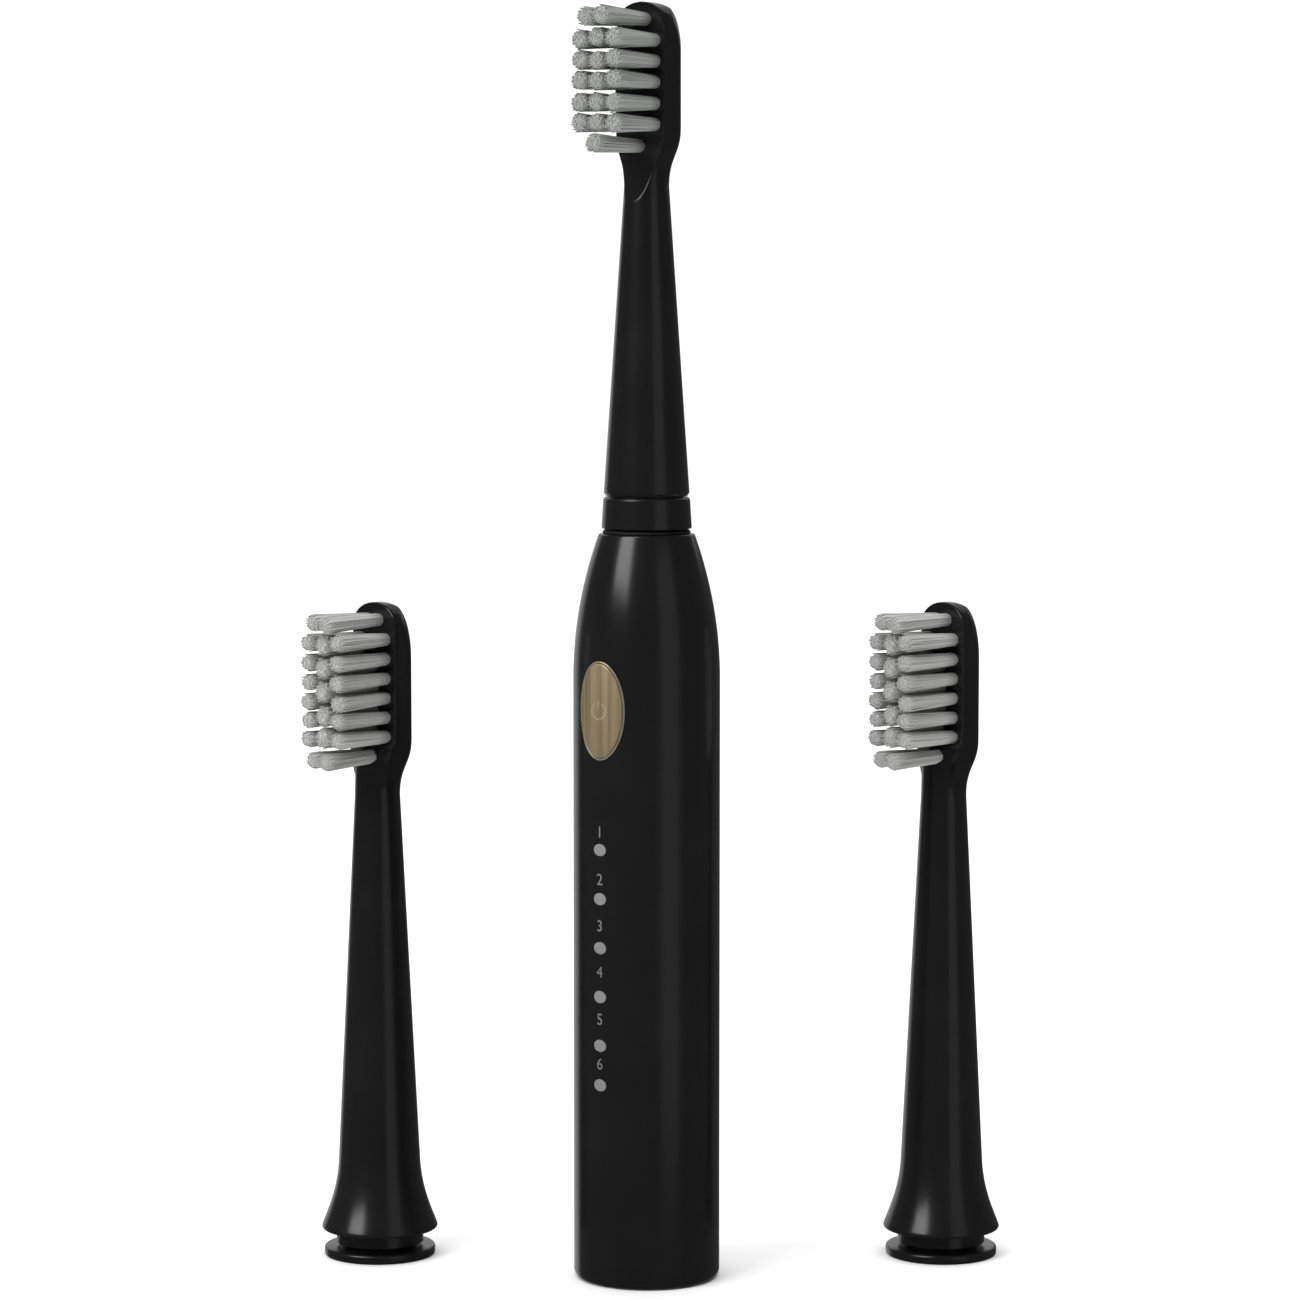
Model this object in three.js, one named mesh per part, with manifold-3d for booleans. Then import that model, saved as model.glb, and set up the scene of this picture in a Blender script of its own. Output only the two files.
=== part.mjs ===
// A sonic toothbrush standing on its base, with a fitted brush head and two spare heads on round stands.
// Millimetres, +Z up. The origin is the centre of the handle's flat base. Each brush is built in a frame
// of its own, where its bristles, button and lights face -Y, and is then turned to its place.
import * as THREE from "three";
import { mergeVertices } from "three/addons/utils/BufferGeometryUtils.js";
import Module from "manifold-3d";

// Driving dimensions.
const fittedTurn = THREE.MathUtils.degToRad(-39.3); // how far the toothbrush is turned about its axis
const spareLeftTurn = THREE.MathUtils.degToRad(-42); // and each spare head
const spareRightTurn = THREE.MathUtils.degToRad(-50);
const clearance = 0.3; // between pieces that are cut by, or sit in, one another
const runningGap = 0.15; // around what slides or turns
const solderGap = 0.1; // between stacked flat pieces
const past = 1; // how far a cutting tool reaches beyond what it cuts

// Handle shell
const handleRadius = 13.25;
const handleHeight = 135.4;
const handleWall = 1.5;
const shoulderHeight = 26.1; // over which the straight tube tapers to its top
const shoulderTopRadius = 8.6;
const baseFillet = 1.45;
const topEdge = 0.3;
const neckPlate = 1.6; // thickness of the plate that closes the shoulder
const neckBore = 4.6;

// Bottom cap, seal and charging coil
const capHeight = 6.4;
const capFloor = 1.6;
const capWall = 2.1;
const oRingWire = 0.45; // radius of its cord
const oRingHeight = 4.2;
const coilInner = 3.2;
const coilThickness = 1.6;
const ferriteThickness = 0.8;

// Chassis
const spineWall = 1.2;
const spineEdge = 3.3; // how far behind the axis its two edges lie
const bulkheadThin = 1.5;
const bulkheadMiddle = 3;
const bulkheadUpper = 3.8;
const cradleMouth = 5; // half the width of the upper bulkhead's open front
const railWidth = 1.2;
const railDepth = 2;
const upperBulkheadFromTop = 8.3; // below the motor's front face

// Battery
const cellRoom = 3; // left between the cell and the board for the board's parts
const terminalRadius = 2.2;
const terminalHeight = 0.8;
const tabThickness = 0.3;
const tabWidth = 4;
const tabRise = 3; // how far the lower strip reaches up the board

// Board and switch
const boardThickness = 1;
const boardHalfWidth = 6.6;
const boardBelowLights = 5.7; // its lower end, below the last light
const boardAboveButton = 7.8; // and its upper end
const controlChip = 6; // side of the square package
const chargeChip = 4;
const chipFoot = 6; // of the lower package above the board's end
const chipSpacing = 4;
const chipThickness = 0.9;
const lampThickness = 0.35;
const lampHalfWidth = 0.8;
const lampHalfHeight = 0.5;
const switchHeight = 1.4;
const switchSide = 6;
const plungerRadius = 1.7;
const plungerStands = 0.5;
const plungerDeep = 0.7;
const screwRadius = 0.8;
const screwHeadRadius = 1.4;
const screwHead = 0.9;
const screwLength = 3.4; // of the shank behind the board
const screwOffset = 5;

// Power button
const buttonDrop = 4.8; // of its centre below the start of the shoulder
const buttonHalfWidth = 4.85;
const buttonHalfHeight = 8.45;
const buttonThickness = 1.6;
const buttonProud = 0.35;
const buttonTravel = 0.5;
const trimWidth = 0.35;
const trimDepth = 0.7;
const trimProud = 0.15;
const membraneThickness = 0.4;
const membraneNub = 0.3;
const membraneMargin = 1;

// Mode lights
const lensCount = 6;
const lensDrop = 25.1; // of the first one below the button's centre
const lensPitch = 8.84;
const lastLensPitch = 7.15;
const lensHalfWidth = 1.4;
const lensHalfHeight = 1.1;
const lensProud = 0.05;
const shieldHalfWidth = 3.2;
const shieldMargin = 3.6;

// Motor
const motorDrop = 29; // of its front face below the handle's top
const motorRadius = 6;
const motorLength = 42.5;
const motorWall = 0.5;
const motorFace = 1;
const endCapFlange = 1.2;
const endCapSpigot = 2.5;
const damperThickness = 1;
const damperWall = 0.8;
const damperSlot = 1.5; // half the width of the opening that lets it slip over the motor
const shaftRadius = 1.6;
const bearingOuter = 3;
const bearingLength = 2.2;
const rotorRadius = 2.8;
const rotorLength = 22;
const magnetThickness = 0.9;
const magnetLength = 18;
const magnetArc = THREE.MathUtils.degToRad(160);
const bobbinWall = 0.35;
const bobbinLength = 26;
const windingThickness = 0.65;
const springWire = 0.35;
const springLength = 4.4;
const springTurns = 3.5;
const springSteps = 10; // in each turn

// Shaft above the handle, and the seal around it
const shaftTopRadius = 2;
const shaftReach = 22.6;
const shaftFlat = 1.5; // distance of the flat from the axis
const shaftFlatLength = 14;
const sealFlangeRadius = 7.9;
const sealFlange = 0.6;
const sealWall = 1.05;
const sealDepth = 4.5;
const clipThickness = 1.2;
const clipRadius = 6.2;

// Coupling that every head shares, measured up from the lower face of its ring
const ringRadiusLow = 8.12;
const ringRadiusTop = 7.8;
const ringHeight = 5.3;
const ringBevel = 0.36;
const grooveHeight = 0.2; // open groove between the ring and the body of the fitted head
const spigotRadius = 6.5;
const insertRadius = 4.6;
const insertLength = 24;
const insertRoof = 1.4;

// Paddle that carries the bristles
const paddleHalfWidth = 5.6;
const paddleTopRound = 4.2;
const paddleShoulder = 11; // height over which the neck widens into the paddle
const paddleEase = 5.5; // straightness of that widening at its two ends
const footInset = 0.4; // of the paddle's foot inside the neck
const neckRunOut = 8; // height over which the neck tapers on inside the paddle
const padMargin = 0.45;
const padThickness = 0.7;
const backCorner = 1.6; // rounding of the paddle's back corners
const backRound = 9; // length over which the back rounds over towards the tip
const crownRound = 3.2; // and how far forward the tip's back edge then lies
const crownFull = 0.85; // how far that rounding's middle stays from a square corner
const crownDip = 1.2; // of the middle of the crown's round edge below the tip
const crownLean = 0.3; // and inside the paddle's widest radius

// Fitted head
const fittedLift = 0.3; // running gap above the seal
const fittedNeckRadius = 7.7;
const fittedNeckFrom = 6.5;
const fittedWaist = 61;
const fittedWaistRadius = 4.03;
const fittedLength = 93.6;
const fittedFace = 2; // of the bristle face in front of the axis
const fittedBack = 3.85; // of the paddle's back behind the axis
const fittedRampTop = 6.6; // of the slope that leads up to the face, above the waist
const fittedRamp = 10.3; // and its length
const fittedRampTurn = 0.33; // share of its depth at its lower turn, 1 for a soft end
const fittedBrow = 0.65; // of its lower edge in front of the waist
const fittedPadFoot = 2.6; // how far the bristle carrier reaches below the last row
const fittedCrownLong = 8.5; // length over which the paddle draws in towards the tip
const fittedCrownDrop = 3.3; // and how far it draws in

// Spare heads and their stands
const skirtRadius = 10.8;
const skirtLow = 2.55;
const skirtRim = 0.5;
const skirtHeight = 12.65;
const skirtNeckRadius = 7.6;
const skirtRecess = 6.2;
const skirtTuck = 0.75; // how far the skirt draws in above its rim
const skirtTuckRise = 2.2;
const skirtSweep = 0.35; // how it runs out into the neck
const skirtSweepDrop = 5.9;
const spareWaist = 83.75;
const spareWaistRadius = 4.2;
const spareLength = 119.45;
const spareFace = 0.8;
const spareBack = 4.4;
const spareRampTop = 10.2;
const spareRamp = 2.6;
const spareRampTurn = 1;
const spareBrow = 0.1;
const sparePadFoot = 2.3;
const spareCrownLong = 10.5;
const spareCrownDrop = 3.6;
const standRadius = 10.3;
const standThickness = 1.65;
const standEdge = 0.3;
const standStepRadius = 6.9;
const standStep = 0.35;
const standSpigotRadius = 1.5;
const standSpigotLength = 13.5;
const spareSpacing = 104.65; // between the axes of the two spare heads
const spareShift = 2.55; // of their middle to the right of the handle
const spareY = 17;

// Bristles
const tuftBaseRadius = 1.17;
const tuftTipRadius = 1.55;
const tuftWiden = 1.15; // each tuft is wider across than it is tall
const tuftDome = 0.9; // length of the rounded tip
const tuftCrown = 0.9; // radius of its end
const endTuftExtra = 0.8; // the first and last rows stand longer
const pairColumn = 1.35; // half the spacing of two tufts in a row
const pairFan = 0.35; // how much further apart their tips are
const fittedRows = [2, 3, 3, 3, 3, 3, 1];
const fittedTuft = 12.8;
const fittedColumn = 3.5; // spacing of three tufts in a row
const fittedFan = 0.35;
const fittedRowPitch = 3.71;
const fittedTopRow = 3.2; // below the head's tip
const spareRows = [2, 2, 2, 2, 2, 2, 2, 2];
const middleCount = 5; // taller tufts between the two outer columns
const middlePitch = 4.27;
const middleTall = 1.25;
const spareTuft = 13.75;
const spareColumn = 3.1;
const spareFan = 0.8;
const spareRowPitch = 3.59;
const spareTopRow = 3.15;

// Facets of round pieces
const shellSides = 32;
const partSides = 24;
const smallSides = 16;
const tuftSides = 8;
const wireSides = 8;
const curveSteps = 4;
const lensSteps = 5;
const buttonSteps = 10;

// Sizes that follow from the driving ones
const shoulderFrom = handleHeight - shoulderHeight;
const buttonHeight = shoulderFrom - buttonDrop;
const lensTopHeight = buttonHeight - lensDrop;
const shellInner = handleRadius - handleWall;
const membraneOuter = shellInner - clearance;
const membraneInner = membraneOuter - membraneThickness;
const plungerFace = membraneInner - membraneNub - clearance;
const switchFace = plungerFace - plungerStands;
const boardFace = switchFace - switchHeight;
const boardBack = boardFace - boardThickness;
const chassisFront = boardBack - solderGap;
const chassisRadius = shellInner - clearance;
const spineInner = chassisRadius - spineWall;
const cellBack = spineInner - clearance; // how far behind the axis the cell reaches
const cellRadius = (cellBack + boardBack - cellRoom) / 2;
const cellY = cellBack - cellRadius;
const chassisLow = capHeight + clearance;
const lowerTabHeight = chassisLow + bulkheadThin + solderGap;
const cellLow = lowerTabHeight + tabThickness + solderGap;
const damperOuter = motorRadius + runningGap + damperWall;
const magnetOuter = rotorRadius + solderGap + magnetThickness;
const bobbinInner = magnetOuter + clearance;
const bobbinOuter = motorRadius - motorWall - runningGap;
const motorTop = handleHeight - motorDrop;
const motorLow = motorTop - motorLength;
const middleTop = motorLow - solderGap - damperThickness;
const middleLow = middleTop - bulkheadMiddle;
const screwHeight = (middleLow + middleTop) / 2;
const upperTabHeight = middleLow - solderGap - tabThickness;
const cellTop = upperTabHeight - solderGap - terminalHeight;
const canLow = motorLow + endCapFlange + solderGap;
const bearingHole = bearingOuter + runningGap;
const rearBearingLow = motorLow + endCapFlange + solderGap;
const springLow = rearBearingLow + bearingLength + clearance;
const rotorLow = springLow + springLength + 2 * springWire + clearance;
const rotorMiddle = rotorLow + rotorLength / 2;
const ringBottom = handleHeight + sealFlange + fittedLift;
const shaftTop = handleHeight + shaftReach;
const upperBulkheadLow = motorTop - upperBulkheadFromTop;
const bodyBottom = ringHeight + ringBevel + grooveHeight;
const insertBore = shaftTopRadius + clearance;
const lensHeights = Array.from({ length: lensCount }, (_, i) =>
  i < lensCount - 1
    ? lensTopHeight - i * lensPitch
    : lensTopHeight - (i - 1) * lensPitch - lastLensPitch,
);
const boardLow = lensHeights[lensCount - 1] - boardBelowLights;
const boardTop = buttonHeight + boardAboveButton;

// Materials
const finish = (color, roughness, metalness = 0) =>
  new THREE.MeshStandardMaterial({ color, roughness, metalness });
const blackShell = finish(0x1b1b1c, 0.38);
const blackMoulding = finish(0x202022, 0.5);
const champagne = finish(0xa08c64, 0.35, 0.9);
const paleTrim = finish(0xa79c84, 0.4, 0.8);
const lensPlastic = finish(0xc9c8c6, 0.45);
const nylon = finish(0x9c9d9a, 0.7);
const rubber = finish(0x1f1f20, 0.8);
const steel = finish(0xb5b8ba, 0.3, 1);
const copper = finish(0xb4693a, 0.4, 1);
const ferrite = finish(0x3a3b3d, 0.7);
const greyPlastic = finish(0xd6d6d2, 0.6);
const boardGreen = finish(0x1f5a3a, 0.6);
const cellWrap = finish(0x2b5f9a, 0.4);

// Booleans
const wasm = await Module();
wasm.setup();

function solid(geometry) {
  const bare = new THREE.BufferGeometry();
  bare.setAttribute("position", geometry.getAttribute("position"));
  bare.setIndex(geometry.getIndex());
  const merged = mergeVertices(bare, 1e-4);
  return new wasm.Manifold(
    new wasm.Mesh({
      numProp: 3,
      vertProperties: merged.getAttribute("position").array,
      triVerts: new Uint32Array(merged.getIndex().array),
    }),
  );
}

const join = (first, ...others) =>
  others.reduce((sum, other) => sum.add(solid(other)), solid(first));
const cut = (body, ...tools) =>
  tools.reduce((rest, tool) => rest.subtract(solid(tool)), body);

function geometryOf(body) {
  const { vertProperties, triVerts } = body.getMesh();
  const geometry = new THREE.BufferGeometry();
  geometry.setAttribute("position", new THREE.BufferAttribute(vertProperties, 3));
  geometry.setIndex(new THREE.BufferAttribute(triVerts, 1));
  const facets = geometry.toNonIndexed();
  facets.computeVertexNormals();
  return facets;
}

function place(parent, name, shape, material) {
  const geometry = shape.isBufferGeometry ? shape : geometryOf(shape);
  const mesh = new THREE.Mesh(geometry, material);
  mesh.name = name;
  parent.add(mesh);
}

// Shape builders

// An outline through the points [radius, height], turned about Z. Its inside lies to the left.
function turned(points, sides = partSides) {
  const outline = points.map(([radius, height]) => new THREE.Vector2(radius, height));
  return turnedPath(outline, sides);
}

function turnedPath(outline, sides) {
  return new THREE.LatheGeometry(outline, sides).rotateX(Math.PI / 2);
}

function disc(radius, low, high, sides = partSides) {
  return turned([[0, low], [radius, low], [radius, high], [0, high]], sides);
}

function ring(inner, outer, low, high, sides = partSides) {
  return turned([[inner, low], [outer, low], [outer, high], [inner, high], [inner, low]], sides);
}

// A shape drawn across (x) and up (y), given depth along the way the brush faces.
function facing(shape, from, to, steps = lensSteps) {
  const options = { depth: to - from, bevelEnabled: false, curveSegments: steps };
  return new THREE.ExtrudeGeometry(shape, options).rotateX(Math.PI / 2).translate(0, -from, 0);
}

// A side view drawn forward (x) and up (y), given width about the middle.
function sideways(shape, width, steps = curveSteps) {
  const options = { depth: width, bevelEnabled: false, curveSegments: steps };
  const turn = new THREE.Matrix4().makeBasis(
    new THREE.Vector3(0, -1, 0),
    new THREE.Vector3(0, 0, 1),
    new THREE.Vector3(-1, 0, 0),
  );
  return new THREE.ExtrudeGeometry(shape, options).applyMatrix4(turn).translate(width / 2, 0, 0);
}

function oval(halfWidth, halfHeight, height) {
  const shape = new THREE.Shape();
  shape.absellipse(0, height, halfWidth, halfHeight, 0, 2 * Math.PI);
  return shape;
}

// The button's outline, grown by a margin.
function buttonOval(margin) {
  return oval(buttonHalfWidth + margin, buttonHalfHeight + margin, buttonHeight);
}

// A block between two corners, with y counted forward from the axis.
function block(left, right, back, front, low, high) {
  return new THREE.BoxGeometry(right - left, front - back, high - low).translate(
    (left + right) / 2,
    -(back + front) / 2,
    (low + high) / 2,
  );
}

// A rod that lies along the way the brush faces.
function rod(radius, from, to, x, height, sides = smallSides) {
  return new THREE.CylinderGeometry(radius, radius, to - from, sides).translate(
    x,
    -(from + to) / 2,
    height,
  );
}

// Handle

function shoulderRadius(height) {
  const share = (height - shoulderFrom) / (handleHeight - shoulderFrom);
  return handleRadius - (handleRadius - shoulderTopRadius) * share * share;
}

// The space inside the handle, drawn in from the wall by an inset.
function cavity(inset) {
  const top = handleHeight - neckPlate;
  const topRadius = shoulderRadius(top) - handleWall - inset;
  const radius = shellInner - inset;
  const outline = new THREE.Path();
  outline.moveTo(0, -past);
  outline.lineTo(radius, -past);
  outline.lineTo(radius, shoulderFrom);
  outline.quadraticCurveTo(radius, (shoulderFrom + top) / 2, topRadius, top);
  outline.lineTo(0, top);
  return turnedPath(outline.getPoints(curveSteps), shellSides);
}

function handleShell() {
  const outline = new THREE.Path();
  outline.moveTo(0, 0);
  outline.lineTo(handleRadius - baseFillet, 0);
  outline.absarc(handleRadius - baseFillet, baseFillet, baseFillet, -Math.PI / 2, 0);
  outline.lineTo(handleRadius, shoulderFrom);
  outline.quadraticCurveTo(
    handleRadius,
    (shoulderFrom + handleHeight) / 2,
    shoulderTopRadius,
    handleHeight - topEdge,
  );
  outline.lineTo(shoulderTopRadius - topEdge, handleHeight);
  outline.lineTo(0, handleHeight);
  const shell = cut(
    solid(turnedPath(outline.getPoints(curveSteps), shellSides)),
    cavity(0),
    disc(neckBore, handleHeight - neckPlate - past, handleHeight + past, shellSides),
  );
  const through = buttonOval(runningGap + trimWidth / 2);
  const counterbore = buttonOval(2 * runningGap + trimWidth);
  const trimSeat = solid(facing(counterbore, 0, 2 * handleRadius, buttonSteps)).subtract(
    solid(disc(handleRadius - trimDepth - clearance, 0, handleHeight, shellSides)),
  );
  const holes = lensHeights.map((height) =>
    facing(oval(lensHalfWidth + runningGap, lensHalfHeight + runningGap, height), 0, 2 * handleRadius),
  );
  return cut(shell.subtract(trimSeat), facing(through, 0, 2 * handleRadius, buttonSteps), ...holes);
}

function bottomCap() {
  const radius = shellInner - clearance;
  const grooveRadius = radius - 2 * oRingWire;
  const grooveHalf = oRingWire + runningGap;
  return turned([
    [0, 0],
    [radius, 0],
    [radius, oRingHeight - grooveHalf],
    [grooveRadius, oRingHeight - grooveHalf],
    [grooveRadius, oRingHeight + grooveHalf],
    [radius, oRingHeight + grooveHalf],
    [radius, capHeight],
    [radius - capWall, capHeight],
    [radius - capWall, capFloor],
    [0, capFloor],
  ]);
}

function capORing() {
  const middle = shellInner - runningGap - oRingWire;
  return new THREE.TorusGeometry(middle, oRingWire, wireSides, partSides).translate(0, 0, oRingHeight);
}

function chassis() {
  const upperTop = upperBulkheadLow + bulkheadUpper;
  const wide = 2 * handleRadius;
  const spine = cut(
    solid(ring(spineInner, chassisRadius, chassisLow, upperTop)),
    block(-wide, wide, -spineEdge, wide, 0, handleHeight),
  );
  const rail = (left) =>
    block(left, left + railWidth, chassisFront - railDepth, chassisFront, chassisLow, upperTop);
  const pieces = [
    disc(chassisRadius, chassisLow, chassisLow + bulkheadThin),
    disc(chassisRadius, middleLow, middleTop),
    disc(chassisRadius, upperBulkheadLow, upperTop),
    rail(-boardHalfWidth),
    rail(boardHalfWidth - railWidth),
  ];
  const whole = pieces.reduce((sum, piece) => sum.add(solid(piece)), spine);
  const cradle = damperOuter + runningGap;
  return cut(
    whole,
    block(-wide, wide, chassisFront, wide, 0, handleHeight),
    disc(cradle, upperBulkheadLow - past, upperTop + past),
    block(-cradleMouth, cradleMouth, 0, wide, upperBulkheadLow - past, upperTop + past),
    ...[-1, 1].map((side) =>
      rod(
        screwRadius + runningGap,
        chassisFront - screwLength - clearance,
        chassisFront + past,
        side * screwOffset,
        screwHeight,
      ),
    ),
  );
}

function batteryCell() {
  const cell = turned([
    [0, cellLow],
    [cellRadius, cellLow],
    [cellRadius, cellTop],
    [terminalRadius, cellTop],
    [terminalRadius, cellTop + terminalHeight],
    [0, cellTop + terminalHeight],
  ]);
  return cell.translate(0, cellY, 0);
}

// A strip of nickel, bent from the cell's end to the back of the board.
function batteryTab(level, rise) {
  const front = boardBack - solderGap;
  const bend = cellRadius - cellY + clearance + tabThickness;
  const outline = new THREE.Shape();
  const top = level + tabThickness;
  outline.moveTo(-cellY, level);
  outline.lineTo(bend, level);
  if (rise > 0) {
    outline.lineTo(bend, rise - tabThickness);
    outline.lineTo(front, rise - tabThickness);
    outline.lineTo(front, rise);
    outline.lineTo(bend - tabThickness, rise);
    outline.lineTo(bend - tabThickness, top);
  } else {
    outline.lineTo(front, level);
    outline.lineTo(front, top);
  }
  outline.lineTo(-cellY, top);
  return sideways(outline, tabWidth);
}

function circuitBoard() {
  const chip = (side, low) =>
    block(-side / 2, side / 2, boardBack - chipThickness, boardBack + solderGap, low, low + side);
  const lamps = lensHeights.map((height) =>
    block(
      -lampHalfWidth,
      lampHalfWidth,
      boardFace - solderGap,
      boardFace + lampThickness,
      height - lampHalfHeight,
      height + lampHalfHeight,
    ),
  );
  const board = join(
    block(-boardHalfWidth, boardHalfWidth, boardBack, boardFace, boardLow, boardTop),
    chip(controlChip, boardLow + chipFoot),
    chip(chargeChip, boardLow + chipFoot + controlChip + chipSpacing),
    ...lamps,
  );
  return cut(
    board,
    ...[-1, 1].map((side) =>
      rod(screwRadius + clearance, boardBack - past, boardFace + past, side * screwOffset, screwHeight),
    ),
  );
}

function boardScrew(side) {
  const x = side * screwOffset;
  const under = boardFace + solderGap;
  const tip = chassisFront - screwLength;
  return join(
    rod(screwRadius, tip, under + solderGap, x, screwHeight, smallSides),
    rod(screwHeadRadius, under, under + screwHead, x, screwHeight, smallSides),
  );
}

function tactSwitch() {
  const half = switchSide / 2;
  const body = block(
    -half,
    half,
    boardFace + solderGap,
    switchFace,
    buttonHeight - half,
    buttonHeight + half,
  );
  const well = switchFace - plungerDeep - buttonTravel / 2 - runningGap;
  return cut(solid(body), rod(plungerRadius + runningGap, well, switchFace + past, 0, buttonHeight));
}

function switchPlunger() {
  return rod(plungerRadius, switchFace - plungerDeep, plungerFace, 0, buttonHeight);
}

function buttonMembrane() {
  const margin = runningGap + trimWidth + membraneMargin;
  const low = buttonHeight - buttonHalfHeight - margin;
  const high = buttonHeight + buttonHalfHeight + margin;
  const half = buttonHalfWidth + margin;
  const skin = cut(
    solid(cavity(clearance)).intersect(solid(block(-half, half, 0, handleRadius, low, high))),
    cavity(clearance + membraneThickness),
  );
  const nubFace = membraneInner - membraneNub;
  const nub = rod(plungerRadius, nubFace, membraneOuter - solderGap, 0, buttonHeight);
  return skin.add(solid(nub));
}

function powerButton() {
  const outer = handleRadius + buttonProud;
  const curve = ring(outer - buttonThickness, outer, 0, handleHeight, shellSides);
  const column = facing(buttonOval(0), handleRadius / 2, 2 * handleRadius, buttonSteps);
  return solid(column).intersect(solid(curve));
}

function buttonTrimRing() {
  const curve = ring(handleRadius - trimDepth, handleRadius + trimProud, 0, handleHeight, shellSides);
  const inner = facing(buttonOval(runningGap), 0, 3 * handleRadius, buttonSteps);
  const outer = facing(
    buttonOval(runningGap + trimWidth),
    handleRadius / 2,
    2 * handleRadius,
    buttonSteps,
  );
  return cut(solid(outer).intersect(solid(curve)), inner);
}

function lightShield() {
  const front = Math.sqrt(shellInner ** 2 - shieldHalfWidth ** 2) - clearance;
  const low = lensHeights[lensCount - 1] - shieldMargin;
  const high = lensHeights[0] + shieldMargin;
  const bar = block(-shieldHalfWidth, shieldHalfWidth, boardFace + solderGap, front, low, high);
  return cut(
    solid(bar),
    ...lensHeights.map((height) =>
      facing(
        oval(lensHalfWidth + runningGap, lensHalfHeight + runningGap, height),
        0,
        2 * handleRadius,
      ),
    ),
  );
}

function modeLens(height) {
  const back = boardFace + lampThickness + clearance;
  const stem = facing(oval(lensHalfWidth, lensHalfHeight, height), back, 2 * handleRadius);
  const curve = disc(handleRadius + lensProud, 0, handleHeight, shellSides);
  return solid(stem).intersect(solid(curve));
}

// Motor

function rearDamper() {
  return ring(shaftRadius, motorRadius - clearance, middleTop, middleTop + damperThickness);
}

function frontDamper() {
  const low = upperBulkheadLow + solderGap;
  const high = upperBulkheadLow + bulkheadUpper - solderGap;
  return cut(
    solid(ring(motorRadius + runningGap, damperOuter, low, high)),
    block(-damperSlot, damperSlot, 0, handleRadius, low - past, high + past),
    block(-damperOuter, damperOuter, boardBack - clearance, handleRadius, low - past, high + past),
  );
}

function motorCan() {
  const inner = motorRadius - motorWall;
  return turned([
    [inner, canLow],
    [motorRadius, canLow],
    [motorRadius, motorTop],
    [bearingHole, motorTop],
    [bearingHole, motorTop - motorFace],
    [inner, motorTop - motorFace],
    [inner, canLow],
  ]);
}

function motorEndCap() {
  const flangeTop = motorLow + endCapFlange;
  const spigotTop = flangeTop + endCapSpigot;
  const spigot = motorRadius - motorWall - runningGap;
  return turned([
    [0, motorLow],
    [motorRadius, motorLow],
    [motorRadius, flangeTop],
    [spigot, flangeTop],
    [spigot, spigotTop],
    [bearingHole, spigotTop],
    [bearingHole, flangeTop],
    [0, flangeTop],
  ]);
}

function bearing(low) {
  return ring(shaftRadius + runningGap, bearingOuter, low, low + bearingLength);
}

function coilBobbin() {
  const low = rotorMiddle - bobbinLength / 2;
  const high = rotorMiddle + bobbinLength / 2;
  const tube = bobbinInner + bobbinWall;
  return turned([
    [bobbinInner, low],
    [bobbinOuter, low],
    [bobbinOuter, low + bobbinWall],
    [tube, low + bobbinWall],
    [tube, high - bobbinWall],
    [bobbinOuter, high - bobbinWall],
    [bobbinOuter, high],
    [bobbinInner, high],
    [bobbinInner, low],
  ]);
}

function statorWinding() {
  const half = bobbinLength / 2 - bobbinWall - solderGap;
  const inner = bobbinInner + bobbinWall + solderGap;
  return ring(inner, inner + windingThickness, rotorMiddle - half, rotorMiddle + half);
}

function rotorCore() {
  return ring(shaftRadius + solderGap, rotorRadius, rotorLow, rotorLow + rotorLength);
}

function rotorMagnet(direction) {
  const inner = rotorRadius + solderGap;
  const shape = new THREE.Shape();
  shape.absarc(0, 0, inner + magnetThickness, direction - magnetArc / 2, direction + magnetArc / 2);
  shape.absarc(0, 0, inner, direction + magnetArc / 2, direction - magnetArc / 2, true);
  const options = { depth: magnetLength, bevelEnabled: false, curveSegments: curveSteps };
  return new THREE.ExtrudeGeometry(shape, options).translate(0, 0, rotorMiddle - magnetLength / 2);
}

// A close helix about the axis.
class Helix extends THREE.Curve {
  constructor(radius, low, length, turns) {
    super();
    Object.assign(this, { radius, low, length, turns });
  }

  getPoint(share, target = new THREE.Vector3()) {
    const angle = 2 * Math.PI * this.turns * share;
    return target.set(
      this.radius * Math.cos(angle),
      this.radius * Math.sin(angle),
      this.low + this.length * share,
    );
  }
}

function returnSpring() {
  const radius = shaftRadius + clearance + springWire;
  const wire = new THREE.Shape();
  wire.absarc(0, 0, springWire, 0, 2 * Math.PI);
  return new THREE.ExtrudeGeometry(wire, {
    steps: springSteps * springTurns,
    curveSegments: 2,
    extrudePath: new Helix(radius, springLow + springWire, springLength, springTurns),
  });
}

function driveShaft() {
  const step = motorTop + bearingLength;
  const shaft = turned(
    [
      [0, rearBearingLow + solderGap],
      [shaftRadius, rearBearingLow + solderGap],
      [shaftRadius, step],
      [shaftTopRadius, step],
      [shaftTopRadius, shaftTop],
      [0, shaftTop],
    ],
    smallSides,
  );
  const wide = 2 * shaftTopRadius;
  return cut(
    solid(shaft),
    block(-wide, wide, shaftFlat, wide, shaftTop - shaftFlatLength, shaftTop + past),
  );
}

function shaftSeal() {
  const outer = neckBore - runningGap;
  const lip = shaftTopRadius + clearance;
  const low = handleHeight - sealDepth;
  return turned([
    [outer - sealWall, low],
    [outer, low],
    [outer, handleHeight],
    [sealFlangeRadius, handleHeight],
    [sealFlangeRadius, handleHeight + sealFlange],
    [lip, handleHeight + sealFlange],
    [lip, handleHeight - sealFlange],
    [outer - sealWall, handleHeight - 2 * sealFlange],
    [outer - sealWall, low],
  ]);
}

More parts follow.
